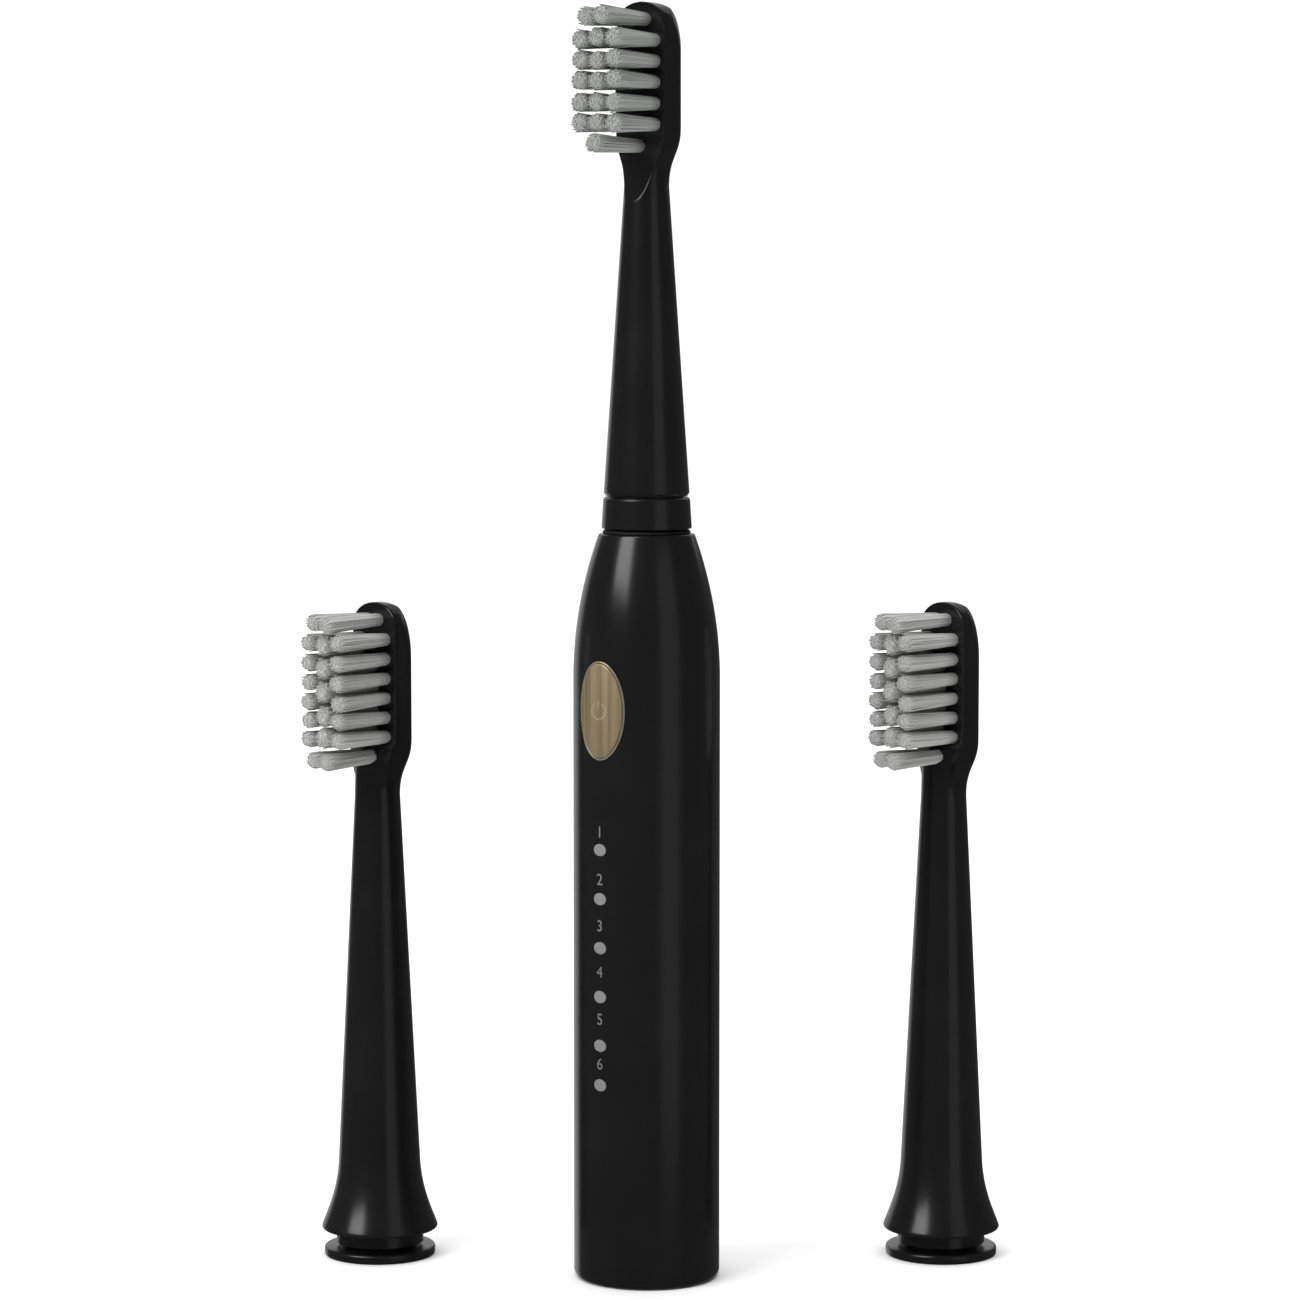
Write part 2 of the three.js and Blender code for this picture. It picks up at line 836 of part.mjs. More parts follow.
function sealClip() {
  const top = handleHeight - neckPlate - solderGap;
  return ring(neckBore, clipRadius, top - clipThickness, top);
}

// Heads, each in a frame with its ring's lower face at zero

function headRing() {
  const inner = spigotRadius + runningGap;
  return turned([
    [inner, 0],
    [ringRadiusLow, 0],
    [ringRadiusTop, ringHeight],
    [ringRadiusTop - ringBevel, ringHeight + ringBevel],
    [inner, ringHeight + ringBevel],
    [inner, 0],
  ]);
}

function headInsert() {
  const sleeve = cut(
    solid(disc(insertRadius, clearance, insertLength)),
    disc(insertBore, -past, insertLength - insertRoof, smallSides),
  );
  const flat = block(
    -insertBore,
    insertBore,
    shaftFlat + clearance,
    insertBore + clearance,
    insertLength - insertRoof - shaftFlatLength,
    insertLength - insertRoof / 2,
  );
  return sleeve.add(solid(flat));
}

// Front view of the paddle.
function paddleOutline(head) {
  const half = paddleHalfWidth;
  const foot = head.waistRadius - footInset;
  const low = head.waist - past;
  const wide = head.waist + paddleShoulder;
  const crown = head.length - paddleTopRound;
  const shape = new THREE.Shape();
  shape.moveTo(-foot, low);
  shape.lineTo(foot, low);
  shape.bezierCurveTo(foot, low + paddleEase, half, wide - paddleEase, half, wide);
  shape.lineTo(half, crown);
  shape.absellipse(0, crown, half, paddleTopRound, 0, Math.PI);
  shape.lineTo(-half, wide);
  shape.bezierCurveTo(-half, wide - paddleEase, -foot, low + paddleEase, -foot, low);
  return shape;
}

function rowHeight(head, row) {
  return head.length - head.topRow - row * head.rowPitch;
}

// Front view of the bristle carrier, which is set into the face of the paddle.
function carrierOutline(head, margin) {
  const half = paddleHalfWidth - margin;
  const crown = head.length - paddleTopRound;
  const wide = head.waist + paddleShoulder;
  const low = rowHeight(head, head.rows.length - 1) - head.padFoot + margin;
  const shape = new THREE.Shape();
  shape.absellipse(0, crown, half, paddleTopRound - margin, 0, Math.PI);
  shape.absellipse(0, wide, half, wide - low, Math.PI, 2 * Math.PI);
  return shape;
}

// Side view of the paddle: flat face in front, back rounded over at the tip.
function paddleSide(head) {
  const shape = new THREE.Shape();
  const front = 2 * paddleHalfWidth;
  shape.moveTo(-head.back, head.waist - past);
  shape.lineTo(front, head.waist - past);
  shape.lineTo(front, head.length + past);
  shape.lineTo(crownRound - head.back, head.length + past);
  shape.lineTo(crownRound - head.back, head.length);
  shape.quadraticCurveTo(
    crownFull - head.back,
    head.length,
    -head.back,
    head.length - backRound,
  );
  return shape;
}

// Section of the paddle, seen from above, with its back corners rounded.
function paddleSection(head) {
  const half = paddleHalfWidth;
  const shape = new THREE.Shape();
  shape.moveTo(-half, -head.face - past);
  shape.lineTo(half, -head.face - past);
  shape.absarc(half - backCorner, head.back - backCorner, backCorner, 0, Math.PI / 2);
  shape.absarc(backCorner - half, head.back - backCorner, backCorner, Math.PI / 2, Math.PI);
  const options = { depth: head.length, bevelEnabled: false, curveSegments: curveSteps };
  return new THREE.ExtrudeGeometry(shape, options);
}

// Round envelope that brings the paddle's square foot down to the neck and rounds its tip.
function paddleEnvelope(head) {
  const corner =
    Math.hypot(paddleHalfWidth - backCorner, head.back - backCorner) + backCorner;
  const wide = head.waist + paddleShoulder;
  const outline = new THREE.Path();
  outline.moveTo(0, head.waist - past);
  outline.lineTo(head.waistRadius, head.waist - past);
  outline.lineTo(head.waistRadius, head.waist);
  outline.bezierCurveTo(
    head.waistRadius,
    head.waist + paddleEase,
    corner,
    wide - paddleEase,
    corner,
    wide,
  );
  outline.lineTo(corner, head.length - head.crownLong);
  outline.quadraticCurveTo(
    corner - crownLean,
    head.length - crownDip,
    corner - head.crownDrop,
    head.length,
  );
  outline.lineTo(0, head.length);
  return outline;
}

// What is cut away in front of the neck: the flat face and the slope that leads up to it.
function faceCut(head) {
  const rampTop = head.waist + head.rampTop;
  const rampLow = rampTop - head.ramp;
  const brow = head.waistRadius + head.brow;
  const front = 2 * paddleHalfWidth;
  const third = head.ramp / 3;
  const turn = head.face + (brow - head.face) * head.rampTurn;
  const shape = new THREE.Shape();
  shape.moveTo(head.face, head.length + past);
  shape.lineTo(head.face, rampTop);
  shape.bezierCurveTo(head.face, rampTop - third, turn, rampLow + third, brow, rampLow);
  shape.lineTo(front, rampLow);
  shape.lineTo(front, head.length + past);
  return shape;
}

// Neck and paddle in one, before the seat of the bristle carrier is cut.
function headForm(head) {
  const bore = insertRadius + runningGap;
  const boreTop = insertLength + clearance;
  const outline = new THREE.Path();
  outline.moveTo(bore, clearance);
  outline.lineTo(spigotRadius, clearance);
  head.foot(outline);
  outline.lineTo(head.waistRadius, head.waist);
  outline.lineTo(head.back - footInset, head.waist + neckRunOut);
  outline.lineTo(0, head.waist + paddleShoulder);
  outline.lineTo(0, boreTop);
  outline.lineTo(bore, boreTop);
  outline.lineTo(bore, clearance);
  const neck = solid(turnedPath(outline.getPoints(curveSteps), partSides));
  const wide = 4 * paddleHalfWidth;
  const paddle = solid(facing(paddleOutline(head), -head.back, head.face + past))
    .intersect(solid(sideways(paddleSide(head), wide)))
    .intersect(solid(paddleSection(head)))
    .intersect(solid(turnedPath(paddleEnvelope(head).getPoints(curveSteps), partSides)));
  return cut(neck.add(paddle), sideways(faceCut(head), wide));
}

function headBody(head) {
  const wide = 4 * paddleHalfWidth;
  const seat = facing(carrierOutline(head, padMargin), head.face - padThickness - clearance, wide);
  return cut(headForm(head), seat);
}

// Foot of the fitted head: a bevelled edge above the ring.
function fittedFoot(outline) {
  outline.lineTo(spigotRadius, bodyBottom);
  outline.lineTo(fittedNeckRadius - ringBevel, bodyBottom);
  outline.lineTo(fittedNeckRadius, fittedNeckFrom);
}

// Foot of a spare head: a skirt that flares over the ring.
function spareFoot(outline) {
  const recess = ringRadiusLow + clearance;
  outline.lineTo(spigotRadius, skirtRecess);
  outline.lineTo(recess, skirtRecess);
  outline.lineTo(recess, skirtLow);
  outline.lineTo(skirtRadius - skirtRim, skirtLow);
  outline.quadraticCurveTo(skirtRadius, skirtLow, skirtRadius, skirtLow + skirtRim);
  outline.bezierCurveTo(
    skirtRadius - skirtTuck,
    skirtLow + skirtRim + skirtTuckRise,
    skirtNeckRadius + skirtSweep,
    skirtLow + skirtHeight - skirtSweepDrop,
    skirtNeckRadius,
    skirtLow + skirtHeight,
  );
}

// One tuft, from the carrier to its rounded tip.
function tuft(head, x, height, lean, length, tall = 1) {
  const shape = turned(
    [
      [0, 0],
      [tuftBaseRadius, 0],
      [tuftTipRadius, length - tuftDome],
      [tuftCrown, length],
      [0, length],
    ],
    tuftSides,
  );
  const angle = Math.atan2(lean, length);
  return shape
    .rotateX(Math.PI / 2)
    .scale(tuftWiden, 1, tall)
    .rotateZ(angle)
    .translate(x, solderGap - head.face, height);
}

// The carrier lies flush with the head's front; its tufts stand in it.
function bristles(head) {
  const plate = facing(
    carrierOutline(head, padMargin + runningGap),
    head.face - padThickness,
    4 * paddleHalfWidth,
  );
  const carrier = headForm(head).intersect(solid(plate));
  const rows = head.rows.flatMap((count, row) => {
    const height = rowHeight(head, row);
    const last = row === 0 || row === head.rows.length - 1;
    const length = head.tuft + (last ? endTuftExtra : 0);
    const [spacing, fan] =
      count === 2 && last ? [2 * pairColumn, 2 * pairFan] : [head.column, head.fan];
    const gap = count === 2 && !last ? 2 : 1;
    return Array.from({ length: count }, (_, column) => {
      const offset = gap * (column - (count - 1) / 2);
      return tuft(head, offset * spacing, height, offset * fan, length);
    });
  });
  const middle = (rowHeight(head, 1) + rowHeight(head, head.rows.length - 2)) / 2;
  const column = Array.from({ length: head.middleCount }, (_, i) => {
    const offset = i - (head.middleCount - 1) / 2;
    return tuft(head, 0, middle + offset * middlePitch, 0, head.tuft, middleTall);
  });
  return [...rows, ...column].reduce((sum, shape) => sum.add(solid(shape)), carrier);
}

function stand() {
  const top = standThickness + standStep;
  return turned([
    [0, 0],
    [standRadius - standEdge, 0],
    [standRadius, standEdge],
    [standRadius, standThickness - standEdge],
    [standRadius - standEdge, standThickness],
    [standStepRadius, standThickness],
    [standStepRadius, top],
    [standSpigotRadius, top],
    [standSpigotRadius, top + standSpigotLength],
    [0, top + standSpigotLength],
  ], shellSides);
}

// Assembly

const fittedHead = {
  foot: fittedFoot,
  waist: fittedWaist,
  waistRadius: fittedWaistRadius,
  length: fittedLength,
  face: fittedFace,
  back: fittedBack,
  rampTop: fittedRampTop,
  ramp: fittedRamp,
  rampTurn: fittedRampTurn,
  brow: fittedBrow,
  padFoot: fittedPadFoot,
  crownLong: fittedCrownLong,
  crownDrop: fittedCrownDrop,
  rows: fittedRows,
  middleCount: 0,
  tuft: fittedTuft,
  column: fittedColumn,
  fan: fittedFan,
  rowPitch: fittedRowPitch,
  topRow: fittedTopRow,
};

const spareHead = {
  foot: spareFoot,
  waist: spareWaist,
  waistRadius: spareWaistRadius,
  length: spareLength,
  face: spareFace,
  back: spareBack,
  rampTop: spareRampTop,
  ramp: spareRamp,
  rampTurn: spareRampTurn,
  brow: spareBrow,
  padFoot: sparePadFoot,
  crownLong: spareCrownLong,
  crownDrop: spareCrownDrop,
  rows: spareRows,
  middleCount,
  tuft: spareTuft,
  column: spareColumn,
  fan: spareFan,
  rowPitch: spareRowPitch,
  topRow: spareTopRow,
};

function addHead(parent, prefix, head, height) {
  const group = new THREE.Group();
  group.position.z = height;
  parent.add(group);
  place(group, (prefix || "brush_") + "head_body", headBody(head), blackShell);
  place(group, prefix + "head_insert", headInsert(), greyPlastic);
  place(group, prefix + "head_ring", headRing(), blackMoulding);
  place(group, prefix + "head_bristles", bristles(head), nylon);
}

function addHandle(parent) {
  place(parent, "handle_shell", handleShell(), blackShell);
  place(parent, "bottom_cap", bottomCap(), blackMoulding);
  place(parent, "cap_o_ring", capORing(), rubber);
  const coilLow = capFloor + solderGap;
  const coilOuter = shellInner - clearance - capWall - clearance;
  const ferriteLow = coilLow + coilThickness + solderGap;
  place(parent, "receiver_coil", ring(coilInner, coilOuter, coilLow, coilLow + coilThickness), copper);
  place(parent, "ferrite_disc", disc(coilOuter, ferriteLow, ferriteLow + ferriteThickness), ferrite);
  place(parent, "chassis", chassis(), greyPlastic);
  place(parent, "battery_cell", batteryCell(), cellWrap);
  place(parent, "battery_tab_lower", batteryTab(lowerTabHeight, boardLow + tabRise), steel);
  place(parent, "battery_tab_upper", batteryTab(upperTabHeight, 0), steel);
  place(parent, "circuit_board", circuitBoard(), boardGreen);
  place(parent, "board_screw_left", boardScrew(-1), steel);
  place(parent, "board_screw_right", boardScrew(1), steel);
  place(parent, "tact_switch", tactSwitch(), blackMoulding);
  place(parent, "switch_plunger", switchPlunger(), greyPlastic);
  place(parent, "button_membrane", buttonMembrane(), rubber);
  place(parent, "button_trim_ring", buttonTrimRing(), paleTrim);
  place(parent, "power_button", powerButton(), champagne);
  place(parent, "light_shield", lightShield(), rubber);
  lensHeights.forEach((height, index) => {
    place(parent, "mode_lens_" + (index + 1), modeLens(height), lensPlastic);
  });
}

function addMotor(parent) {
  place(parent, "rear_damper", rearDamper(), rubber);
  place(parent, "front_damper", frontDamper(), rubber);
  place(parent, "motor_can", motorCan(), steel);
  place(parent, "motor_end_cap", motorEndCap(), greyPlastic);
  place(parent, "rear_bearing", bearing(rearBearingLow), steel);
  place(parent, "front_bearing", bearing(motorTop - bearingLength + clearance), steel);
  place(parent, "coil_bobbin", coilBobbin(), greyPlastic);
  place(parent, "stator_winding", statorWinding(), copper);
  place(parent, "return_spring", returnSpring(), steel);
  place(parent, "rotor_core", rotorCore(), steel);
  place(parent, "rotor_magnet_north", rotorMagnet(0), ferrite);
  place(parent, "rotor_magnet_south", rotorMagnet(Math.PI), ferrite);
  place(parent, "drive_shaft", driveShaft(), steel);
  place(parent, "shaft_seal", shaftSeal(), rubber);
  place(parent, "seal_clip", sealClip(), greyPlastic);
}

function addSpare(parent, prefix, x, turn) {
  const group = new THREE.Group();
  group.position.set(x, spareY, 0);
  group.rotation.z = turn;
  parent.add(group);
  place(group, prefix + "stand", stand(), blackMoulding);
  addHead(group, prefix, spareHead, standThickness + standStep + clearance);
}

const group = new THREE.Group();
const toothbrush = new THREE.Group();
toothbrush.rotation.z = fittedTurn;
group.add(toothbrush);
addHandle(toothbrush);
addMotor(toothbrush);
addHead(toothbrush, "", fittedHead, ringBottom);
addSpare(group, "spare_left_", spareShift - spareSpacing / 2, spareLeftTurn);
addSpare(group, "spare_right_", spareShift + spareSpacing / 2, spareRightTurn);

export default group;
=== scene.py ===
"""Looks of the sonic toothbrush and its two spare heads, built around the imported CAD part.

Pieces are modelled in millimetres, each in a frame of its own with its bristles, button and lights
towards -Y, and are then turned, moved and scaled to metres in the part's frame.
"""

import math
import random

import bpy
from mathutils import Matrix, Vector


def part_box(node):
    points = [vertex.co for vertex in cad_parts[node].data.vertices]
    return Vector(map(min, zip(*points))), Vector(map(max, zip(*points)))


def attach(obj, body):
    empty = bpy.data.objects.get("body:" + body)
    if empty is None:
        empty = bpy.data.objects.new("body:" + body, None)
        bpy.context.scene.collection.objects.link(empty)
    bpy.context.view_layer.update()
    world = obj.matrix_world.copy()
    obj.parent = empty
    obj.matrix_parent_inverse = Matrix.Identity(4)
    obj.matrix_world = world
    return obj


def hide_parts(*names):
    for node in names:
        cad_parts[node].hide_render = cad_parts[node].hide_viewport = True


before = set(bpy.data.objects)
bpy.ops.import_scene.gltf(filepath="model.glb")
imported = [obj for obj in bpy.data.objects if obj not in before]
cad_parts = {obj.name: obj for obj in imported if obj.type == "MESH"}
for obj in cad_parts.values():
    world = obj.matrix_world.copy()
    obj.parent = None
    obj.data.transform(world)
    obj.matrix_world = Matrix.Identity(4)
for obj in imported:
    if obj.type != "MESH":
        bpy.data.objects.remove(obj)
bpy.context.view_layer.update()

MM = 0.001
HANDLE_TURN = math.radians(-39.3)  # how far the toothbrush is turned about its axis
LEFT_TURN = math.radians(-42)  # and each spare head
RIGHT_TURN = math.radians(-50)

# Handle, in millimetres above the floor or from its axis
HANDLE_RADIUS = 13.25
HANDLE_TOP = 135.4
WALL = 1.5
SHOULDER_FROM = 109.3
SHOULDER_TOP_RADIUS = 8.6
BASE_FILLET = 1.45
TOP_ROUND = 0.35  # height of the soft edge at the top of the shoulder
TOP_ROUND_WIDTH = 0.5
TOP_GUARD = 0.12  # an extra ring this far below it, which keeps its shading to itself
TUBE_RINGS = [40, 60, 80, 92]  # extra rings on the straight tube, which keep its faces short
NECK_PLATE = 1.6
NECK_BORE = 4.6
NECK_CHAMFER = 0.15

# Bottom cap
CAP_RADIUS = 11.45
CAP_HEIGHT = 6.4
CAP_FLOOR = 1.6
CAP_WALL = 2.1
CAP_EDGE = 0.3
CAP_RECESS = 0.25  # of its underside, inside a narrow foot
CAP_RECESS_RADIUS = 7.9
CAP_GROOVE_HEIGHT = 4.2
CAP_GROOVE_HALF = 0.6
CAP_GROOVE_DEPTH = 0.9

# Power button and its rim
BUTTON_HEIGHT = 104.35
BUTTON_HALF_WIDTH = 4.68
BUTTON_HALF_HEIGHT = 8.48
BUTTON_THICKNESS = 1.6
BUTTON_PROUD = 0.35
BUTTON_EDGE = 0.28
TRIM_GAP = 0.07
TRIM_WIDTH = 0.3
TRIM_DEPTH = 0.08
TRIM_PROUD = 0.15
TRIM_EDGE = 0.1
TRIM_BITE = 0.01  # how far the rim reaches into the wall of its seat

# Power symbol on the button, etched a little below the face
MARK_OUTER = 1.62
MARK_INNER = 1.36
MARK_OPEN = 32  # degrees that its ring is open to each side of the top
MARK_BAR_HALF = 0.13
MARK_BAR_LOW = 0.35
MARK_BAR_HIGH = 1.9
MARK_SUNK = 0.01
MARK_CUT = 0.06
MARK_THICK = 0.1
MARK_MARGIN = 0.02  # of the cut round the symbol

# Mode lights and their printed numbers
LENS_HEIGHTS = [79.4, 70.56, 61.72, 52.88, 44.04, 36.89]
LENS_HALF_WIDTH = 1.4
LENS_HALF_HEIGHT = 1.1
LENS_PROUD = 0.05
LENS_STEM = 2.05
LENS_GAP = 0.08
LENS_EDGE = 0.1
NUMBER_RISE = [3.3, 3.6, 4.1, 4.6, 4.9, 3.95]  # of each number above its light
NUMBER_SIZE = 2.9
NUMBER_MIDDLE = 0.36  # from a number's foot to its middle, as a share of its size
INK_PROUD = 0.03

# Seal and shaft
SEAL_RADIUS = 7.9
SEAL_FLANGE = 0.6
SEAL_DEPTH = 4.5
SEAL_WALL = 1.05
SEAL_EDGE = 0.2
SEAL_BORE_GAP = 0.15
SEAL_SHAFT_GAP = 0.3
SEAL_GROOVE = (3.4, 5.3)  # inner and outer radius of the groove in its top
SHAFT_RADIUS = 1.6
SHAFT_TOP_RADIUS = 2
SHAFT_TOP = 158
SHAFT_STEP = 108.6
SHAFT_FLAT = 1.5
SHAFT_FLAT_LENGTH = 14
SHAFT_CHAMFER = 0.35
SHAFT_FOOT_CHAMFER = 0.2

# Coupling shared by the heads, above the lower face of the ring
FITTED_LIFT = 136.3
SPARE_LIFT = 2.3
RING_LOW_RADIUS = 8.12
RING_TOP_RADIUS = 7.8
RING_HEIGHT = 5.3
RING_BEVEL = 0.36
GROOVE = 0.2
RING_SPIGOT_GAP = 0.15
RING_FOOT_CHAMFER = 0.15
SPIGOT_RADIUS = 6.5
SPIGOT_CHAMFER = 0.3
SPIGOT_FOOT = 0.3  # of the spigot and the insert, above the lower face of the ring
INSERT_RADIUS = 4.6
INSERT_LENGTH = 24
INSERT_ROOF = 1.4
INSERT_BORE = 2.3
INSERT_CHAMFER = 0.2
INSERT_LEAD = 0.25  # widening of the bore at its mouth
INSERT_GAP = 0.05
KEY_GAP = 0.3  # between the key in the bore and the flat of the shaft

# Paddle that carries the bristles
PADDLE_HALF_WIDTH = 5.6
PADDLE_TOP_ROUND = 4.2
PADDLE_SHOULDER = 11
PADDLE_EASE = 5.5
FOOT_INSET = 0.4
NECK_RUN_OUT = 8
PAD_MARGIN = 0.45
PAD_THICKNESS = 0.7
PAD_GAP = 0.06
PAD_SEAT_GAP = 0.05
BACK_CORNER = 1.6
BACK_ROUND = 9
CROWN_ROUND = 3.2
CROWN_FULL = 0.85
CROWN_DIP = 1.2
CROWN_LEAN = 0.3

FITTED = {
    "waist": 61, "waist_radius": 4.03, "length": 93.6, "face": 2, "back": 3.85,
    "ramp_top": 6.6, "ramp": 10.3, "ramp_turn": 0.33, "brow": 0.65, "pad_foot": 2.6,
    "crown_long": 8.5, "crown_drop": 3.3, "voxel": 0.2, "smoothing": 2,
    "rows": [2, 3, 3, 3, 3, 3, 1], "pitch": 3.71, "top_row": 3.2, "middle": 0,
    "tuft": 12.8, "tip": 1.72, "column": 3.5, "fan": 0.35,
}
SPARE = {
    "waist": 83.75, "waist_radius": 4.2, "length": 119.45, "face": 0.8, "back": 4.4,
    "ramp_top": 10.2, "ramp": 2.6, "ramp_turn": 1, "brow": 0.1, "pad_foot": 2.3,
    "crown_long": 10.5, "crown_drop": 3.6, "voxel": 0.22, "smoothing": 8,
    "rows": [2, 2, 2, 2, 2, 2, 2, 2], "pitch": 3.59, "top_row": 3.15, "middle": 5,
    "tuft": 13.75, "tip": 1.55, "column": 3.1, "fan": 0.8,
}
FITTED_NECK_RADIUS = 7.7
FITTED_NECK_FROM = 6.5
SKIRT_RADIUS = 10.8
SKIRT_LOW = 2.55
SKIRT_RIM = 0.5
SKIRT_HEIGHT = 12.65
SKIRT_NECK_RADIUS = 7.6
SKIRT_TUCK = 0.75
SKIRT_TUCK_RISE = 2.2
SKIRT_SWEEP = 0.35
SKIRT_SWEEP_DROP = 5.9
SKIRT_RECESS = 6.2
SKIRT_RECESS_GAP = 0.2
SKIRT_RECESS_CHAMFER = 0.2

# Tufts, which lean and twist by small random angles
MIDDLE_PITCH = 4.27
MIDDLE_TALL = 1.25
TUFT_BASE = 1.17
TUFT_WIDEN = 1.15
TUFT_DOME = 0.9
END_EXTRA = 0.8
PAIR_COLUMN = 1.35
PAIR_FAN = 0.35
TUFT_SUNK = 0.1
TUFT_SWAY = 0.012
TUFT_NOD = 0.02
FILAMENTS = 104
FILAMENT_RADIUS = 0.11
FILAMENT_SIDES = 5
FILAMENT_BENDS = (-0.18, 0, 0.12, 0.22)
FILAMENT_TIP = ((0.07, 0.8), (0.05, 0.45))  # rise and width of the two steps of its rounded tip
CORE_SHORT = 0.35  # how much the core inside a tuft is shorter than its filaments
# Tone of the core, dark: painted shade inside a tuft.
CORE_SHADE_TONE = 0.25
GOLDEN_ANGLE = math.pi * (3 - math.sqrt(5))

# Stand of a spare head
STAND_RADIUS = 10.3
STAND_THICKNESS = 1.65
STAND_FOOT_ROUND = 0.35
STAND_TOP_ROUND = 0.45
STEP_RADIUS = 6.9
STEP = 0.35
STEP_EDGE = 0.15
STAND_SPIGOT_RADIUS = 1.5
STAND_SPIGOT_LENGTH = 13.5
STAND_SPIGOT_CHAMFER = 0.4

# Sides of round pieces
FINE_SIDES = 160
SIDES = 128
BUTTON_SIDES = 96
NECK_SIDES = 96
SMALL_SIDES = 64
LENS_SIDES = 48
TUFT_SIDES = 28

MERGE = 1e-4  # points closer than this are one
NEARLY = 0.01  # points this close to a face are taken as on it
BEND_STRIP = 0.35  # width of the strips that a flat piece is cut into before it is bent
SMOOTH_ANGLE = math.radians(30)


# Modelling helpers


def pick(*pieces):
    bpy.ops.object.select_all(action="DESELECT")
    for piece in pieces:
        piece.select_set(True)
    bpy.context.view_layer.objects.active = pieces[0]


def start(piece, kind="VERT"):
    pick(piece)
    bpy.ops.object.mode_set(mode="EDIT")
    bpy.ops.mesh.select_mode(type=kind)
    bpy.ops.mesh.select_all(action="SELECT")


def stop():
    bpy.ops.object.mode_set(mode="OBJECT")


def tidy_mesh():
    """Merges doubles and turns every face outwards, in edit mode."""
    bpy.ops.mesh.select_all(action="SELECT")
    bpy.ops.mesh.remove_doubles(threshold=MERGE)
    bpy.ops.mesh.normals_make_consistent(inside=False)


def chain(name, points):
    """A line of edges through the points."""
    bpy.ops.object.select_all(action="DESELECT")
    bpy.ops.mesh.primitive_plane_add(size=1)
    piece = bpy.context.object
    piece.name = name
    start(piece)
    bpy.ops.mesh.merge(type="CENTER")
    bpy.ops.transform.translate(value=points[0])
    for before, after in zip(points, points[1:]):
        step = Vector(after) - Vector(before)
        bpy.ops.mesh.extrude_region_move(TRANSFORM_OT_translate={"value": step})
    return piece


def turned(name, profile, sides=SIDES):
    """A profile of (radius, height) points, spun about Z."""
    piece = chain(name, [(radius, 0, height) for radius, height in profile])
    bpy.ops.mesh.select_all(action="SELECT")
    bpy.ops.mesh.spin(steps=sides, angle=2 * math.pi, center=(0, 0, 0), axis=(0, 0, 1))
    tidy_mesh()
    stop()
    return piece


def extruded(name, points, step):
    """A flat face inside the outline through the points, given thickness by one step."""
    piece = chain(name, [*points, points[0]])
    bpy.ops.mesh.select_all(action="SELECT")
    bpy.ops.mesh.remove_doubles(threshold=MERGE)
    bpy.ops.mesh.edge_face_add()
    bpy.ops.mesh.extrude_region_move(TRANSFORM_OT_translate={"value": step})
    tidy_mesh()
    stop()
    return piece


def prism(name, outline, near, far):
    """An outline of (x, height) points, given depth from y = near to y = far."""
    return extruded(name, [(x, near, height) for x, height in outline], (0, far - near, 0))


def side_prism(name, outline, half_width):
    """An outline of (y, height) points, given width to both sides."""
    points = [(-half_width, y, height) for y, height in outline]
    return extruded(name, points, (2 * half_width, 0, 0))


def upright_circle(name, sides, radius, fill="NOTHING"):
    """A circle in the plane y = 0, left in edit mode."""
    bpy.ops.object.select_all(action="DESELECT")
    bpy.ops.mesh.primitive_circle_add(
        vertices=sides, radius=radius, fill_type=fill, rotation=(math.pi / 2, 0, 0)
    )
    piece = bpy.context.object
    piece.name = name
    pick(piece)
    bpy.ops.object.transform_apply(rotation=True)
    start(piece)
    return piece


def oval(name, half_width, half_height, height, near, far, sides):
    """An oval plate that faces -Y."""
    piece = upright_circle(name, sides, 1, "NGON")
    bpy.ops.transform.resize(value=(half_width, 1, half_height), center_override=(0, 0, 0))
    bpy.ops.transform.translate(value=(0, near, height))
    bpy.ops.mesh.extrude_region_move(TRANSFORM_OT_translate={"value": (0, far - near, 0)})
    tidy_mesh()
    stop()
    return piece


def block(name, low, high):
    """A box between two corners."""
    bpy.ops.object.select_all(action="DESELECT")
    bpy.ops.mesh.primitive_cube_add(size=1)
    piece = bpy.context.object
    piece.name = name
    start(piece)
    size = [b - a for a, b in zip(low, high)]
    middle = [(a + b) / 2 for a, b in zip(low, high)]
    bpy.ops.transform.resize(value=size, center_override=(0, 0, 0))
    bpy.ops.transform.translate(value=middle)
    stop()
    return piece


def apply(piece, kind, **settings):
    """Adds a modifier with its settings and applies it."""
    pick(piece)
    modifier = piece.modifiers.new(kind.lower(), kind)
    for key, value in settings.items():
        setattr(modifier, key, value)
    bpy.ops.object.modifier_apply(modifier=modifier.name)


def combine(piece, operation, *tools):
    """Joins, cuts or intersects a piece with each tool, and removes the tools."""
    for tool in tools:
        apply(piece, "BOOLEAN", operation=operation, object=tool, solver="EXACT")
        bpy.data.objects.remove(tool)
    return piece


def bevel_edges(piece, width, segments, chosen):
    """Bevels the edges whose two ends both pass the test chosen."""
    start(piece, "EDGE")
    bpy.ops.mesh.select_all(action="DESELECT")
    stop()
    vertices = piece.data.vertices
    for edge in piece.data.edges:
        edge.select = all(chosen(vertices[v].co) for v in edge.vertices)
    bpy.ops.object.mode_set(mode="EDIT")
    bpy.ops.mesh.bevel(offset=width, segments=segments, affect="EDGES")
    tidy_mesh()
    stop()


